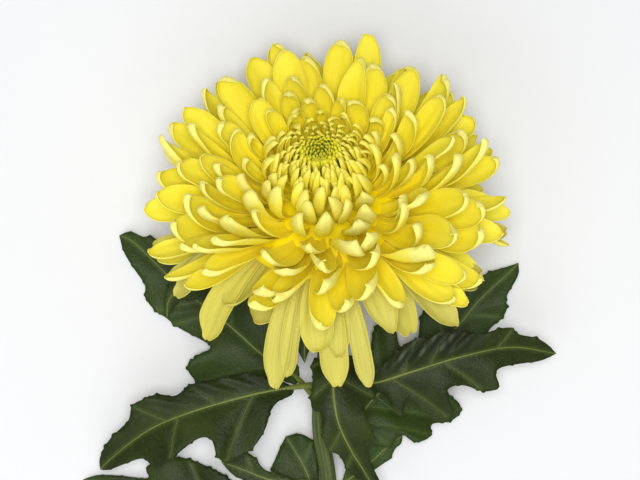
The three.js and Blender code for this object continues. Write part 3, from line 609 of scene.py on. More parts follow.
class Blade:
    """A floret's blade as a grid: s runs along it, x across it, and y over its rounded end from 0 to 1."""

    def __init__(self, floret, steps, breadth):
        self.floret = floret
        self.phase = draw(floret["number"], 14, 0, 6)
        self.length, self.curve, self.slope = spine_of(floret)
        self.total = self.length[-1]
        self.widest = 0.5 * floret["width"]
        self.end = min(floret["end"] * self.widest, LONGEST_END * self.total)
        self.s = self.rows(steps)[:, None]
        self.u = places_across(breadth)[None, :]
        self.y = np.maximum(0, (self.s - (self.total - self.end)) / self.end)
        self.straight = self.widest * mix(FOOT_SHARE, 1, smoothstep(self.s / self.total, *FOOT_WIDENS))
        self.x = self.u * self.straight * (1 - self.y ** 2) ** floret["taper"]
        self.roll_rim()
        self.place()

    def rows(self, steps):
        """Places of the rows along the blade, closer together towards the tip."""
        body_end = self.total - self.end
        count = int(steps * BODY_ROWS)
        body = np.linspace(PETAL_START * self.total, body_end, count, endpoint=False)
        tip = np.sin(np.linspace(0, math.pi / 2 * TIP_CROWDING, steps - count + 1))
        return np.concatenate([body, body_end + self.end * tip])

    def roll_rim(self):
        """Rolls the rim in, more round the end than along the sides, and makes its edge uneven."""
        floret, u, y = self.floret, self.u, self.y
        share = self.s / self.total
        ring = np.sqrt(u ** 2 * (1 - y ** 2) + y ** 2)
        upward = y / np.maximum(ring, 1e-6)
        sideways = u * np.sqrt(1 - y ** 2) / np.maximum(ring, 1e-6)
        reach = np.sqrt((sideways * self.straight) ** 2 + (upward * self.end) ** 2)
        across = sideways / self.straight
        forth = upward / self.end
        size = np.maximum(np.sqrt(across ** 2 + forth ** 2), 1e-9)
        across, forth = across / size, forth / size
        to_tip = upward ** 2
        bearing = np.arctan2(sideways, upward)
        uneven = 1 + UNEVEN_ROLL * np.sin(2.6 * bearing + self.phase)
        side_roll = floret["side_roll"] * smoothstep(share, 0.3, 0.9)
        roll = np.maximum(mix(side_roll, floret["tip_roll"], to_tip) * uneven, 0.01)
        band = mix(0.5, 1, to_tip) * floret["band"]
        progress = np.clip(1 - (1 - ring) * reach / band, 0, 1)
        bent = roll * progress
        drawn_in = band / roll * np.sin(bent) - band * progress
        notch = floret["notch"] * np.exp(-((self.x / (0.2 * self.widest)) ** 2)) * y ** 3 * self.widest
        frayed = np.sin(6 * bearing + self.phase) + 0.6 * np.sin(13 * bearing + 2 * self.phase)
        ragged = frayed * floret["ragged"] * ring ** 8
        self.x = self.x + across * (drawn_in + ragged * to_tip)
        self.s = self.s + forth * (drawn_in + ragged * to_tip) - notch
        self.lift = band / roll * (1 - np.cos(bent))
        self.ring, self.to_tip, self.bent, self.across, self.forth = ring, to_tip, bent, across, forth

    def place(self):
        """Lays the blade along its spine, cupped and twisted, about the bloom's axis."""
        floret, u, s = self.floret, self.u, self.s
        number = floret["number"]
        share = s / self.total
        cup = floret["cup"] * mix(FOOT_CUP, 1, smoothstep(share, 0, FOOT_CUP_TO))
        around = self.x * cup / self.straight
        ridges = np.cos(u * math.pi * 3 + self.phase) * smoothstep(share, 0.2, 0.5) * (1 - self.y)
        ridges = ridges * floret["ridge"] * self.widest
        wave = np.sin(share * draw(number, 11, 6, 12) + draw(number, 12, 0, 6))
        wave = wave * u ** 3 * EDGE_WAVE * self.widest
        step = self.straight / cup * np.sin(around)
        rise = self.straight / cup * (1 - np.cos(around)) + ridges + wave
        beyond = np.maximum(s - self.total, 0)
        out_place = np.interp(s, self.length, self.curve[:, 0]) + beyond * np.cos(self.slope[-1])
        up_place = np.interp(s, self.length, self.curve[:, 1]) + beyond * np.sin(self.slope[-1])
        turn = floret["turn"]
        out = np.array([math.cos(turn), math.sin(turn), 0])
        side = np.array([-math.sin(turn), math.cos(turn), 0])
        up = np.array([0, 0, 1])
        forward, inwards = swung(out, up, np.interp(s, self.length, self.slope))
        right, facing = swung(side, inwards, floret["twist"] * share)
        level, normal = swung(right, facing, around)
        lean = floret["lean"] * share ** 2
        self.points = (
            out_place[..., None] * out + up_place[..., None] * up + lean[..., None] * side
            + step[..., None] * right + rise[..., None] * facing + self.lift[..., None] * normal
        )
        outward = self.across[..., None] * level + self.forth[..., None] * forward
        _, self.normal = swung(outward, normal, self.bent)


def add_floret(mesh, floret, steps, breadth, tone):
    """Thin sheet, closed at its edges and pressed flat where it would reach below the surface."""
    blade = Blade(floret, steps, breadth)
    number = floret["number"]
    share = blade.s / blade.total
    inner = inner_points(blade.x.shape)
    thickness = floret.get("thickness", PETAL_THICKNESS * min(1, floret["width"] / FULL_WIDTH))
    half = (0.5 * thickness * inner * np.sqrt(1 - 0.75 * blade.ring ** 4))[..., None]
    face = in_bloom((blade.points + blade.normal * half).reshape(-1, 3))
    back = in_bloom((blade.points - blade.normal * half).reshape(-1, 3))
    floor = draw(number, 13, 0, 1)
    back[:, 2] = np.maximum(back[:, 2], floor)
    face[:, 2] = np.maximum(face[:, 2], floor + 2 * half.reshape(-1))
    values = {
        "along": share.reshape(-1),
        "across": blade.ring.reshape(-1),
        "tip": blade.to_tip.reshape(-1),
    }
    whole_values = {
        "back": np.concatenate([np.where(inner.reshape(-1), 0, 0.3), np.ones(inner.sum())]),
        "tone": tone,
        "age": number / STAGES[-1][0],
    }
    flat = flat_places(blade.u * blade.widest + number * 31, share * 70)
    add_sheet(mesh, face, back, inner, values, whole_values, flat)


def add_core(mesh):
    """What the feet of the florets leave between them, as a turned body that closes the view through."""
    points = turned(spline(CORE_LINE, 3), ring_angles(TURNED_SIDES, 1))
    grid = np.arange(len(points)).reshape(-1, TURNED_SIDES + 1)
    values = {"along": 0.45, "across": 0.2, "tip": 0.0, "back": 0.0, "tone": 0.5, "age": 0.3}
    mesh.add(in_bloom(points), grid_faces(grid), values, points[:, :2])


def spline(points, per_part=14):
    """Smooth curve through points, with its parts timed by the root of their lengths."""
    points = np.asarray(points, float)
    whole = np.concatenate([[2 * points[0] - points[1]], points, [2 * points[-1] - points[-2]]])
    share = np.linspace(0, 1, per_part, endpoint=False)[:, None]
    parts = []
    for k in range(len(points) - 1):
        a, b, c, d = whole[k:k + 4]
        ab, bc, cd = (max(1e-6, np.linalg.norm(q - p)) ** 0.5 for p, q in ((a, b), (b, c), (c, d)))
        start = ((b - a) / ab - (c - a) / (ab + bc) + (c - b) / bc) * bc
        end = ((c - b) / bc - (d - b) / (bc + cd) + (d - c) / cd) * bc
        cubic = 2 * b - 2 * c + start + end
        square = -3 * b + 3 * c - 2 * start - end
        parts.append(b + share * start + share ** 2 * square + share ** 3 * cubic)
    return np.concatenate([*parts, points[-1:]])


def spaced(line, count):
    """Points evenly spaced along a polyline."""
    lengths = lengths_along(line)
    wanted = np.linspace(0, lengths[-1], count)
    return np.stack([np.interp(wanted, lengths, line[:, k]) for k in range(line.shape[1])], -1)


def softened(line, reach):
    """Line smoothed over a number of its steps, with both ends kept."""
    share = np.arange(-int(3 * reach), int(3 * reach) + 1)
    weights = np.exp(-0.5 * (share / reach) ** 2)
    weights /= weights.sum()
    pad = len(share) // 2
    before = 2 * line[0] - line[pad:0:-1]
    after = 2 * line[-1] - line[-2:-pad - 2:-1]
    whole = np.concatenate([before, line, after])
    soft = np.stack([np.convolve(whole[:, k], weights, "valid") for k in range(line.shape[1])], -1)
    soft[0], soft[-1] = line[0], line[-1]
    return soft


def stem_line():
    top, straight = in_bloom(np.array([[0, 0, STEM_TOP], [0, 0, STEM_STRAIGHT]], float))
    return spline([top, straight, *STEM_LINE])


def add_tube(mesh, line, radii, sides, values, ribs=0, rib_share=0.0):
    """Tube along a line with a radius at each of its points, closed at both ends by small domes."""
    line = np.asarray(line, float)
    tangent = np.gradient(line, axis=0)
    tangent /= np.linalg.norm(tangent, axis=1)[:, None]
    right = np.cross((0, 0, 1), tangent)
    right /= np.maximum(np.linalg.norm(right, axis=1), 1e-9)[:, None]
    up = np.cross(tangent, right)
    angle = ring_angles(sides)
    shape = 1 + rib_share * np.cos(ribs * angle)
    ring = np.cos(angle)[None, :, None] * right[:, None, :] + np.sin(angle)[None, :, None] * up[:, None, :]
    points = line[:, None, :] + ring * (np.asarray(radii)[:, None] * shape[None, :])[..., None]
    ends = [line[0] - tangent[0] * radii[0] * 0.15, line[-1] + tangent[-1] * radii[-1] * 0.15]
    points = np.concatenate([points.reshape(-1, 3), ends])
    points[:, 2] = np.maximum(points[:, 2], 0)
    lengths = lengths_along(line)
    flat = flat_places((angle * radii[0])[None, :], lengths[:, None])
    flat = np.concatenate([flat, [[0, 0], [0, lengths[-1]]]])
    mesh.add(points, tube_faces(len(line), sides), values, flat)


# Leaves


class Leaf:
    """A leaf's curves and the height of its blade."""

    def __init__(self, row, stem):
        joint = np.array(row["midrib"][0], float)
        nearest = stem[np.argmin(np.linalg.norm(stem - joint, axis=1))]
        self.whole = spaced(spline([nearest, *row["midrib"][1:]]), WHOLE_STEPS)
        self.start = int(round(row["blade_from"] * (WHOLE_STEPS - 1)))
        self.rib = spaced(self.whole[self.start:], RIB_STEPS)
        self.tangents = np.gradient(self.rib[:, :2], axis=0)
        self.step = np.sum(np.linalg.norm(np.diff(self.rib, axis=0), axis=1)) / (RIB_STEPS - 1)
        self.rises = row["rises"]
        self.folds = row.get("folds", PLAIN_FOLDS)
        self.margins = [self.margin(side) for side in row["sides"]]
        self.first_sign = np.sign(np.mean(self.side_of(np.array(row["sides"][0], float))))
        self.veins = [self.vein(tip) for side in row["sides"] for tip in self.lobes(side)]
        self.vein_points = np.concatenate([self.rib[:, :2], *[vein[:, :2] for vein in self.veins]])

    def nearest(self, points):
        gaps = np.linalg.norm(points[:, None, :] - self.rib[None, :, :2], axis=2)
        return gaps.argmin(1), gaps.min(1)

    def side_of(self, points):
        near, _ = self.nearest(points)
        tangent = self.tangents[near]
        away = points - self.rib[near, :2]
        return tangent[:, 0] * away[:, 1] - tangent[:, 1] * away[:, 0]

    def of_half(self, points, pair):
        """The value of a pair that belongs to the half on which each point lies."""
        return np.where(np.sign(self.side_of(points)) == self.first_sign, *pair)

    def margin(self, side):
        """Fine margin with a small tooth at each outward corner of the side."""
        corners = np.array(side, float)
        line = spline([self.rib[0, :2], *corners, self.rib[-1, :2]])
        line = spaced(line, max(8, int(lengths_along(line)[-1] / MARGIN_STEP)))
        line = softened(line, MARGIN_SOFTNESS / MARGIN_STEP)
        near, gaps = self.nearest(corners)
        feet = self.rib[near, :2]
        tangent = np.gradient(line, axis=0)
        normal = np.stack([tangent[:, 1], -tangent[:, 0]], -1)
        normal /= np.linalg.norm(normal, axis=1)[:, None]
        inwards = self.rib[self.nearest(line)[0], :2] - line
        normal *= -np.sign(np.sum(normal * inwards, axis=1))[:, None]
        for k in range(1, len(corners) - 1):
            bend = corners[k] - (corners[k - 1] + corners[k + 1]) / 2
            if np.sum(bend * (corners[k] - feet[k])) > 0 and gaps[k] > TOOTH_FROM:
                distance = np.linalg.norm(line - corners[k], axis=1)
                line = line + normal * (TOOTH_HEIGHT * np.exp(-((distance / TOOTH_WIDTH) ** 2)))[:, None]
        along = np.arange(len(line)) * MARGIN_STEP
        small = np.maximum(0, np.sin(along / SMALL_TOOTH_STEP * 2 * math.pi + corners[0, 0])) ** 12
        small = SMALL_TOOTH_HEIGHT * small * np.minimum(1, self.nearest(line)[1] / 6)
        return line + normal * small[:, None]

    def lobes(self, side):
        """Corners of a side that stand further from the midrib than both their neighbours."""
        corners = np.array(side, float)
        _, gaps = self.nearest(corners)
        inner = range(1, len(corners) - 1)
        return [corners[k] for k in inner if gaps[k] >= gaps[k - 1] and gaps[k] > max(LOBE_FROM, gaps[k + 1])]

    def vein(self, tip):
        """Side vein that leaves the midrib forwards and bends out to a lobe's tip."""
        near, gap = self.nearest(tip[None, :])
        start = max(1, int(near[0] - 0.75 * gap[0] / self.step))
        a = self.rib[start, :2]
        tangent = self.rib[min(start + 3, len(self.rib) - 1), :2] - a
        tangent /= np.linalg.norm(tangent)
        b = mix(a, tip, 0.5) + tangent * gap[0] * 0.08
        share = np.linspace(0, 0.94, 24)[:, None]
        flat = (1 - share) ** 2 * a + 2 * (1 - share) * share * b + share ** 2 * tip
        return np.concatenate([flat, self.height(flat)[:, None]], axis=1)

    def along(self, points):
        """Where on the midrib the nearest place to each point is, in its steps, and how far off it is."""
        near, gap = self.nearest(points)
        tangent = self.tangents[near]
        beyond = np.sum((points - self.rib[near, :2]) * tangent, axis=1) / np.sum(tangent ** 2, axis=1)
        return np.clip(near + beyond, 0, len(self.rib) - 1), gap

    def height(self, points):
        near, gap = self.along(points)
        foot = np.clip(near - VEIN_SLANT * gap / self.step, 0, len(self.rib) - 1)
        whole = np.arange(len(self.rib))
        base = np.stack([np.interp(foot, whole, self.rib[:, k]) for k in range(3)], -1)
        out = np.linalg.norm(points - base[:, :2], axis=1)
        folding = self.of_half(points, self.folds)
        wave = np.sin(foot * self.step / WAVE_LENGTH) * out * WAVE_SHARE * folding - out * out * DROOP
        rise = self.of_half(points, self.rises) * out
        return base[:, 2] + rise + wave + CRIMP_HEIGHT * self.crimp(points)

    def fold(self, points):
        """How far a point lies on a folded half: zero on a plain one and at the midrib."""
        near, gap = self.along(points)
        share = near / (len(self.rib) - 1)
        inner = smoothstep(share, *CRIMP_SETS_IN) * (1 - smoothstep(share, *CRIMP_ENDS))
        return smoothstep(self.of_half(points, self.folds), 1, 3) * smoothstep(gap, 1, 6) * inner

    def crimp(self, points):
        """Tight folds that run obliquely from the midrib to the margin of a folded half, from -1 to 1."""
        near, gap = self.along(points)
        return np.sin((near * self.step - CRIMP_SLANT * gap) / CRIMP_LENGTH * 2 * math.pi) * self.fold(points)

    def crest_highlight(self, points):
        """How near a point is to the top of a fold's ridge, where a paler line is painted as a highlight."""
        return np.clip(self.crimp(points), 0, 1) ** 8


def inside(points, outline):
    """Which points lie within a closed outline."""
    x, y = points[:, 0:1], points[:, 1:2]
    ax, ay = outline[:, 0][None], outline[:, 1][None]
    bx, by = np.roll(outline[:, 0], -1)[None], np.roll(outline[:, 1], -1)[None]
    level = (ay > y) != (by > y)
    span = np.where(by == ay, 1e-9, by - ay)
    crossing = level & (x < (bx - ax) * (y - ay) / span + ax)
    return crossing.sum(1) % 2 == 1


def gaps_to(points, others):
    """Distance from each point to the nearest of some others."""
    return np.linalg.norm(points[:, None, :] - others[None, :, :], axis=2).min(1)


def blade_plan(leaf):
    """Leaf blade seen from above: its points and its triangles, all turned the same way."""
    outline = np.concatenate([leaf.margins[0][:-1], leaf.margins[1][::-1][:-1]])
    low, high = outline.min(0), outline.max(0)
    xs = np.arange(low[0], high[0], LEAF_GRID)
    ys = np.arange(low[1], high[1], LEAF_GRID * ROW_HEIGHT)
    grid = np.array([(x + LEAF_GRID / 2 * (k % 2), y) for k, y in enumerate(ys) for x in xs])
    grid = grid[inside(grid, outline)]
    grid = grid[gaps_to(grid, outline) > 0.6 * LEAF_GRID]
    rib = leaf.rib[2:-1, :2]
    grid = grid[gaps_to(grid, rib) > 0.5 * LEAF_GRID]
    count = len(outline)
    edges = [(k, (k + 1) % count) for k in range(count)]
    points = [Vector(point) for point in np.concatenate([outline, rib, grid]).tolist()]
    found = delaunay_2d_cdt(points, edges, [list(range(count))], 1, 1e-5)
    flat = np.array([tuple(point) for point in found[0]])
    faces = [list(face) for face in found[2]]
    a, b, c = (flat[[face[k] for face in faces]] for k in range(3))
    area = (b[:, 0] - a[:, 0]) * (c[:, 1] - a[:, 1]) - (b[:, 1] - a[:, 1]) * (c[:, 0] - a[:, 0])
    return flat, [face if size > 0 else face[::-1] for face, size in zip(faces, area)]


def add_blade(mesh, leaf, shade):
    """Leaf blade, puffed up between its veins, with two faces and a thin edge."""
    flat, faces = blade_plan(leaf)
    gaps = gaps_to(flat, leaf.vein_points)
    height = leaf.height(flat) + PUFF_HEIGHT * (1 - np.exp(-((gaps / PUFF_WIDTH) ** 2)))
    edges = dict.fromkeys((face[k], face[(k + 1) % 3]) for face in faces for k in range(3))
    border = [edge for edge in edges if edge[::-1] not in edges]
    on_rim = np.zeros(len(flat), bool)
    on_rim[[corner for edge in border for corner in edge]] = True
    half = LEAF_THICKNESS / 2 * np.where(on_rim, 0.5, 1)
    height = np.maximum(height, half)
    top = np.column_stack([flat, height + half])
    under = np.column_stack([flat, height - half])
    total = len(flat)
    triangles = faces + [[total + corner for corner in face[::-1]] for face in faces]
    for start, end in border:
        triangles.append([end, start, total + start])
        triangles.append([end, total + start, total + end])
    values = {
        "vein": np.tile(np.exp(-((gaps / VEIN_WIDTH) ** 2)), 2),
        "under": np.repeat([0.0, 1.0], total),
        "shade": shade,
        "fold": np.tile(leaf.fold(flat), 2),
        "crest_highlight": np.tile(leaf.crest_highlight(flat), 2),
    }
    mesh.add(np.concatenate([top, under]), triangles, values, np.tile(flat, (2, 1)))


def add_veins(mesh, leaf):
    """Stalk and midrib as one tapering tube, and the side veins that stand out of the blade."""
    places = np.arange(0, WHOLE_STEPS, 2)
    share = places / (WHOLE_STEPS - 1)
    on_blade = smoothstep(places, leaf.start - 4, leaf.start + 12)
    joint = np.exp(-places / 4)
    radii = mix(STALK_RADIUS, mix(*RIB_RADII, share ** 0.8), on_blade) + JOINT_SWELL * joint
    line = leaf.whole[places].copy()
    line[:, 2] -= on_blade * (0.55 * radii - LEAF_THICKNESS / 2 + 0.05)
    add_tube(mesh, line, radii, 10, {"part": 0.0})
    for vein in leaf.veins:
        radii = np.linspace(*VEIN_RADII, len(vein))
        line = vein.copy()
        line[:, 2] = np.maximum(line[:, 2], LEAF_THICKNESS / 2) + LEAF_THICKNESS / 2 - 0.25 * radii
        add_tube(mesh, line, radii, 6, {"part": 1.0})


# Materials


class Nodes:
    """Short calls for the nodes of one material."""

    def __init__(self, name):
        self.material = bpy.data.materials.new(name)
        self.material.use_nodes = True
        self.tree = self.material.node_tree
        self.shader = self.tree.nodes["Principled BSDF"]

    def link(self, source, target):
        self.tree.links.new(source, target)

    def put(self, socket, value):
        if hasattr(value, "is_output"):
            self.link(value, socket)
        elif isinstance(value, tuple):
            socket.default_value = (*value, 1)
        else:
            socket.default_value = value

    def value(self, name):
        node = self.tree.nodes.new("ShaderNodeAttribute")
        node.attribute_name = name
        return node.outputs["Fac"]

    def mix(self, share, a, b):
        node = self.tree.nodes.new("ShaderNodeMix")
        node.data_type = "RGBA"
        self.put(node.inputs["Factor"], share)
        self.put(node.inputs["A"], a)
        self.put(node.inputs["B"], b)
        return node.outputs["Result"]

    def math(self, operation, a, b):
        node = self.tree.nodes.new("ShaderNodeMath")
        node.operation = operation
        self.put(node.inputs[0], a)
        self.put(node.inputs[1], b)
        return node.outputs[0]

    def lay(self, colour, share, strength, over):
        """A colour laid over another one where a share says, up to a strength."""
        return self.mix(self.math("MULTIPLY", share, strength), over, colour)

    def ramp(self, value, low, high):
        """Zero below one value and one above another."""
        node = self.tree.nodes.new("ShaderNodeMapRange")
        node.interpolation_type = "SMOOTHSTEP"
        self.put(node.inputs["Value"], value)
        node.inputs["From Min"].default_value = low
        node.inputs["From Max"].default_value = high
        return node.outputs["Result"]

    def place(self):
        """The piece's own coordinates in metres."""
        return self.tree.nodes.new("ShaderNodeTexCoord").outputs["Object"]

    def noise(self, vector, scale, detail):
        node = self.tree.nodes.new("ShaderNodeTexNoise")
        node.inputs["Scale"].default_value = scale
        node.inputs["Detail"].default_value = detail
        node.inputs["Roughness"].default_value = 0.55
        self.link(vector, node.inputs["Vector"])
        return node.outputs["Fac"]

    def streaks(self, across, along, detail):
        """Noise drawn out along the piece, in its flat coordinates."""
        place = self.tree.nodes.new("ShaderNodeUVMap")
        place.uv_map = "length"
        node = self.tree.nodes.new("ShaderNodeMapping")
        node.inputs["Scale"].default_value = (across, along, 1)
        self.link(place.outputs["UV"], node.inputs["Vector"])
        return self.noise(node.outputs["Vector"], 1.0, detail)

    def bump(self, height, strength, distance):
        node = self.tree.nodes.new("ShaderNodeBump")
        node.inputs["Strength"].default_value = strength
        node.inputs["Distance"].default_value = distance
        self.link(height, node.inputs["Height"])
        self.link(node.outputs["Normal"], self.shader.inputs["Normal"])

    def finish(self, colour, settings):
        """The material with its colour and the shader's settings by name."""
        self.link(colour, self.shader.inputs["Base Color"])
        for name, value in settings.items():
            self.shader.inputs[name].default_value = value
        return self.material


def petal_material():
    nodes = Nodes("petal")
    # Painted shade: each floret turns darker and deeper golden towards its foot (foot, then deep), standing
    # in for the shade where the feet lie among the other florets
    foot = (0.84, 0.645, 0.004)
    deep = (0.92, 0.775, 0.006)
    bright = (0.82, 0.725, 0.045)
    pale = (0.84, 0.80, 0.23)
    golden = (0.87, 0.765, 0.05)
    warm = (0.87, 0.77, 0.12)
    reverse = (0.82, 0.77, 0.22)
    green = (0.80, 0.76, 0.10)
    hanging_dark = (0.42, 0.39, 0.10)
    along = nodes.value("along")
    age = nodes.value("age")
    grown = nodes.ramp(age, 0.38, 0.62)
    # Painted shade towards the foot, brighter towards the tip
    face = nodes.mix(nodes.ramp(along, 0.25, 0.6), foot, deep)
    face = nodes.mix(nodes.ramp(along, 0.45, 0.95), face, nodes.mix(grown, golden, bright))
    face = nodes.lay(pale, nodes.ramp(nodes.value("across"), 0.5, 1.3), 0.2, face)
    # Turned lips show the paler reverse of the florets
    lip = nodes.math("MAXIMUM", nodes.ramp(nodes.value("tip"), 0.05, 0.5), 0.35)
    # The paler reverse stays off the feet, which keep their painted shade
    behind = nodes.math("MULTIPLY", nodes.ramp(nodes.value("back"), 0.1, 0.9), nodes.ramp(along, 0.55, 0.85))
    colour = nodes.mix(nodes.math("MULTIPLY", behind, lip), face, nodes.mix(grown, warm, reverse))
    colour = nodes.lay(green, nodes.ramp(age, 0.72, 1.0), 0.20, colour)
    # The florets of the hanging rows are darker
    colour = nodes.lay(hanging_dark, nodes.ramp(age, 1.01, 1.1), 0.85, colour)
    streaked = nodes.math("MULTIPLY", nodes.ramp(age, 0.3, 0.6), 0.22)
    colour = nodes.lay(pale, nodes.ramp(nodes.streaks(1.6, 0.035, 3.0), 0.35, 0.75), streaked, colour)
    colour = nodes.lay(deep, nodes.value("tone"), 0.12, colour)
    nodes.bump(nodes.streaks(2.2, 0.03, 2.0), 0.35, 0.0002)
    return nodes.finish(colour, {
        "Roughness": 0.5,
        "Specular IOR Level": 0.1,
        "Sheen Weight": 0.35,
        "Sheen Roughness": 0.5,
        "Sheen Tint": (0.95, 0.80, 0.06, 1.0),
        "Subsurface Weight": 0.1,
        "Subsurface Radius": (1.0, 1.0, 1.0),
        "Subsurface Scale": 0.0005,
    })


def eye_material():
    nodes = Nodes("young_petal")
    # low is partly the young florets' own dark green and partly painted shade in the gaps between them and on
    # the eye's floor
    low = (0.09, 0.11, 0.002)
    young = (0.50, 0.50, 0.02)
    ripe = (0.80, 0.72, 0.03)
    reverse = (0.74, 0.67, 0.045)
    tip = nodes.mix(nodes.ramp(nodes.value("age"), 0.01, 0.13), young, ripe)
    colour = nodes.mix(nodes.ramp(nodes.value("along"), 0.6, 0.95), low, tip)
    colour = nodes.lay(reverse, nodes.value("back"), 0.35, colour)
    nodes.bump(nodes.streaks(2.0, 0.1, 2.0), 0.3, 0.0002)
    subsurface = {"Subsurface Weight": 0.15, "Subsurface Scale": 0.001}
    return nodes.finish(colour, {"Roughness": 0.5, "Specular IOR Level": 0.1, **subsurface})


def leaf_material():
    nodes = Nodes("leaf")
    dark = (0.013, 0.019, 0.003)
    fresh = (0.028, 0.042, 0.007)
    dusty = (0.040, 0.052, 0.016)
    light = (0.05, 0.095, 0.018)
    veined = (0.09, 0.13, 0.03)
    # Painted shade in the hollows of a leaf's folds, and a painted highlight along their ridges
    hollow_shade = (0.017, 0.022, 0.010)
    crest_highlight = (0.085, 0.095, 0.070)
    reverse = (0.10, 0.15, 0.065)
    reverse_vein = (0.22, 0.28, 0.12)
    vein = nodes.value("vein")
    patches = nodes.noise(nodes.place(), 55.0, 4.0)
    grain = nodes.noise(nodes.place(), 600.0, 3.0)
    top = nodes.mix(nodes.ramp(patches, 0.35, 0.7), dark, fresh)
    top = nodes.lay(dusty, nodes.ramp(grain, 0.45, 0.75), 0.35, top)
    top = nodes.lay(light, nodes.value("shade"), 0.6, top)
    top = nodes.lay(veined, vein, 0.45, top)
    # Folded halves get painted shade in their hollows and a painted highlight on their ridges
    top = nodes.lay(nodes.mix(nodes.value("crest_highlight"), hollow_shade, crest_highlight), nodes.value("fold"), 0.8, top)
    colour = nodes.mix(nodes.value("under"), top, nodes.lay(reverse_vein, vein, 0.4, reverse))
    cells = nodes.tree.nodes.new("ShaderNodeTexVoronoi")
    cells.feature = "DISTANCE_TO_EDGE"
    cells.inputs["Scale"].default_value = 560.0
    nodes.link(nodes.place(), cells.inputs["Vector"])
    net = nodes.ramp(cells.outputs["Distance"], 0.0, 0.25)
    nodes.bump(nodes.math("ADD", net, nodes.math("MULTIPLY", grain, 0.5)), 0.24, 0.00025)
    subsurface = {"Subsurface Weight": 0.05, "Subsurface Scale": 0.001}
    return nodes.finish(colour, {"Roughness": 0.44, "Specular IOR Level": 0.12, **subsurface})


def vein_material():
    nodes = Nodes("leaf_vein")
    main = nodes.mix(nodes.noise(nodes.place(), 90.0, 2.0), (0.12, 0.15, 0.025), (0.18, 0.21, 0.04))
    side = (0.065, 0.095, 0.02)
    colour = nodes.mix(nodes.value("part"), main, side)
    nodes.bump(nodes.streaks(1.5, 0.08, 2.0), 0.3, 0.0002)
    return nodes.finish(colour, {"Roughness": 0.5, "Specular IOR Level": 0.3})


def stem_material():
    nodes = Nodes("stem")
    dark = (0.045, 0.065, 0.014)
    fresh = (0.085, 0.115, 0.028)
    speck = (0.13, 0.14, 0.06)
    pith = (0.62, 0.66, 0.38)
    streaks = nodes.streaks(0.9, 0.03, 3.0)
    specks = nodes.noise(nodes.place(), 900.0, 2.0)
    colour = nodes.mix(nodes.ramp(streaks, 0.3, 0.7), dark, fresh)
    colour = nodes.lay(speck, nodes.ramp(specks, 0.55, 0.75), 0.5, colour)
    colour = nodes.mix(nodes.value("cut"), colour, pith)
    nodes.bump(nodes.math("ADD", streaks, nodes.math("MULTIPLY", specks, 0.4)), 0.5, 0.0004)
    return nodes.finish(colour, {"Roughness": 0.55, "Specular IOR Level": 0.3})


def bract_material():
    nodes = Nodes("bract")
    dark = (0.07, 0.11, 0.03)
    fresh = (0.13, 0.18, 0.05)
    dry = (0.42, 0.36, 0.18)
    streaks = nodes.streaks(1.2, 0.05, 3.0)
    colour = nodes.mix(nodes.ramp(streaks, 0.3, 0.7), dark, fresh)
    colour = nodes.mix(nodes.ramp(nodes.value("across"), 0.72, 1.0), colour, dry)
    nodes.bump(streaks, 0.4, 0.0003)
    return nodes.finish(colour, {"Roughness": 0.6})


def floor_material():
    nodes = Nodes("floor")
    low = (0.745, 0.75, 0.765)
    high = (0.755, 0.76, 0.775)
    colour = nodes.mix(nodes.noise(nodes.place(), 40.0, 2.0), low, high)
    return nodes.finish(colour, {"Roughness": 0.95, "Specular IOR Level": 0.1})


# Pieces


def attach(piece, replaced):
    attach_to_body(piece, "root")
    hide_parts(replaced)


def is_left_out(number, turn):
    clock = (math.degrees(turn) + 180) % 360 - 180
    return number >= LOOSE_FROM and LOOSE_CLOCKS[0] < clock < LOOSE_CLOCKS[1]


def add_ring(mesh, first, last, count, breadth_share, steps, breadth):
    """Florets of one stretch of the spiral."""
    for order in range(count):
        number = first + order * (last - first) / count
        floret = floret_at(number)
        floret["width"] *= breadth_share
        floret["turn"] += (first + order - number) * GOLDEN_ANGLE
        if not is_left_out(number, floret["turn"]):
            add_floret(mesh, floret, steps, breadth, draw(number, 31, 0, 1))


def make_bloom():
    material = petal_material()
    for name, *ring in RINGS:
        mesh = Mesh()
        add_ring(mesh, *ring)
        if name == "florets_button":
            add_core(mesh)
        if name == "florets_outer":
            steps, breadth = ring[-2:]
            for order, row in enumerate(HANGING):
                add_floret(mesh, outer_floret(row, order), steps, breadth, draw(order, 32, 0, 1))
        attach(mesh.build(name, material), "ray_florets")


def add_eye_floor(mesh):
    """Closed low dome from which the young florets stand out."""
    rings = turned([(radius, EYE_FLOOR + rise) for radius, rise in EYE_DOME[1:]], ring_angles(EYE_SIDES))
    points = np.concatenate([[[0, 0, EYE_FLOOR + EYE_DOME[0][1]]], rings])
    grid = 1 + np.arange(len(rings)).reshape(-1, EYE_SIDES)
    after = np.roll(grid, -1, axis=1)
    fan = [[0, grid[0, k], after[0, k]] for k in range(EYE_SIDES)]
    quads = np.stack([grid[:-1], grid[1:], after[1:], after[:-1]], -1).reshape(-1, 4).tolist()
    bottom = grid[-1, ::-1].tolist()
    values = {"along": 0.3, "across": 0, "tip": 0, "back": 0, "tone": 0, "age": 0}
    mesh.add(in_bloom(points), [*fan, *quads, bottom], values, points[:, :2])


def make_eye():
    mesh = Mesh()
    for order in range(EYE_FLORETS):
        add_floret(mesh, eye_floret(order), 10, 6, draw(order, 33, 0, 1))
    add_eye_floor(mesh)
    attach(mesh.build("florets_eye", eye_material()), "young_florets")


def make_leaves():
    blade_material = leaf_material()
    rib_material = vein_material()
    stem = spaced(stem_line(), 400)
    for name, row in LEAVES.items():
        leaf = Leaf(row, stem)
        mesh = Mesh()
        add_blade(mesh, leaf, row.get("shade", PLAIN_SHADE))
        attach(mesh.build(name + "_blade", blade_material), name)
        mesh = Mesh()
        add_veins(mesh, leaf)
        attach(mesh.build(name + "_veins", rib_material), name)


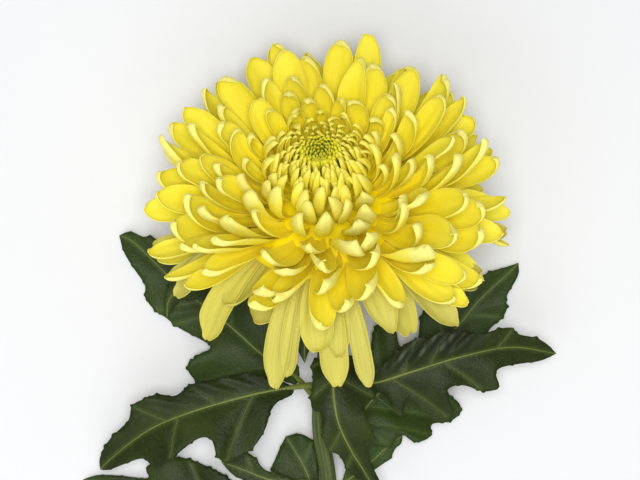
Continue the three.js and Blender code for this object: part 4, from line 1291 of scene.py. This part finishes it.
def make_stem():
    """Ribbed stem, with the pale pith showing at its cut end."""
    line = spaced(stem_line(), 90)
    radii = np.linspace(NECK_RADIUS, CUT_RADIUS, len(line))
    mesh = Mesh()
    add_tube(mesh, line, radii, 56, {"cut": 0.0}, STEM_RIBS, RIB_SHARE)
    tangent = (line[-1] - line[-2]) / np.linalg.norm(line[-1] - line[-2])
    pith = [line[-1] - tangent, line[-1] + tangent * 0.7]
    add_tube(mesh, pith, PITH_RADII, 40, {"cut": 1.0})
    attach(mesh.build("stem_ribbed", stem_material()), "stem")


def make_involucre():
    mesh = Mesh()
    rings = turned(CUP_LINE, ring_angles(TURNED_SIDES))
    points = np.concatenate([rings, [[0, 0, CUP_LINE[0][1]]], [[0, 0, CUP_LINE[-1][1]]]])
    faces = tube_faces(len(CUP_LINE), TURNED_SIDES)
    mesh.add(in_bloom(points), faces, {"across": 0.0}, points[:, :2])
    for order, (count, *bract) in enumerate(BRACT_ROWS):
        for k in range(count):
            add_bract(mesh, (k + order * 0.5) / count * 2 * math.pi, *bract)
    attach(mesh.build("involucre_bracts", bract_material()), "involucre")


def add_bract(mesh, turn, root_r, root_h, tip_r, tip_h, half):
    """Thin pointed scale that lies along the cup, thinner at its edges."""
    along = np.linspace(0, 1, 9)[:, None]
    across = np.linspace(-1, 1, 7)[None, :]
    out = np.array([math.cos(turn), math.sin(turn), 0])
    side = np.array([-math.sin(turn), math.cos(turn), 0])
    width = half * np.sqrt(np.maximum(0.003, 1 - along ** 2.6))
    radius = mix(root_r, tip_r, along)
    height = mix(root_h, tip_h, along) - BRACT_SAG * np.sin(along * math.pi)
    middle = radius * out + height * np.array([0, 0, 1])
    points = middle[:, None, :] + (width * across)[..., None] * side
    points[..., 2] += BRACT_CUP * width * across ** 2
    inner = inner_points(points.shape[:2])
    thick = np.zeros_like(points)
    thick[..., 2] = BRACT_THICKNESS / 2 * inner
    above = in_bloom((points + thick).reshape(-1, 3))
    below = in_bloom((points - thick).reshape(-1, 3))
    edge = np.broadcast_to(np.maximum(np.abs(across), along ** 3), inner.shape).reshape(-1)
    add_sheet(mesh, above, below, inner, {"across": edge}, {}, flat_places(across * half, along * 10))


# Stage, lights and camera


def make_floor():
    mesh = bpy.data.meshes.new("floor")
    sides = [(-1, -1), (1, -1), (1, 1), (-1, 1)]
    mesh.from_pydata([(x * FLOOR_HALF, y * FLOOR_HALF, -FLOOR_DROP) for x, y in sides], [], [[0, 1, 2, 3]])
    mesh.materials.append(floor_material())
    floor = bpy.data.objects.new("floor", mesh)
    bpy.context.scene.collection.objects.link(floor)


def make_light(name, place, target, size, power):
    data = bpy.data.lights.new(name, "AREA")
    data.size = size
    data.energy = power
    lamp = bpy.data.objects.new(name, data)
    lamp.location = place
    lamp.rotation_euler = (Vector(target) - Vector(place)).to_track_quat("-Z", "Y").to_euler()
    bpy.context.scene.collection.objects.link(lamp)


def make_studio():
    world = bpy.data.worlds.new("studio")
    world.use_nodes = True
    background = world.node_tree.nodes["Background"]
    background.inputs["Color"].default_value = (1, 1, 1, 1)
    background.inputs["Strength"].default_value = WORLD_STRENGTH
    bpy.context.scene.world = world
    bpy.context.scene.view_settings.view_transform = "Standard"
    for name, settings in LIGHTS.items():
        make_light(name, *settings)


def make_camera():
    data = bpy.data.cameras.new("camera")
    data.sensor_width = 36
    data.lens = LENS
    data.clip_end = 20
    camera = bpy.data.objects.new("camera", data)
    camera.location = CAMERA_PLACE
    bpy.context.scene.collection.objects.link(camera)
    bpy.context.scene.camera = camera


make_camera()
make_bloom()
make_eye()
make_involucre()
make_stem()
make_leaves()
make_floor()
make_studio()
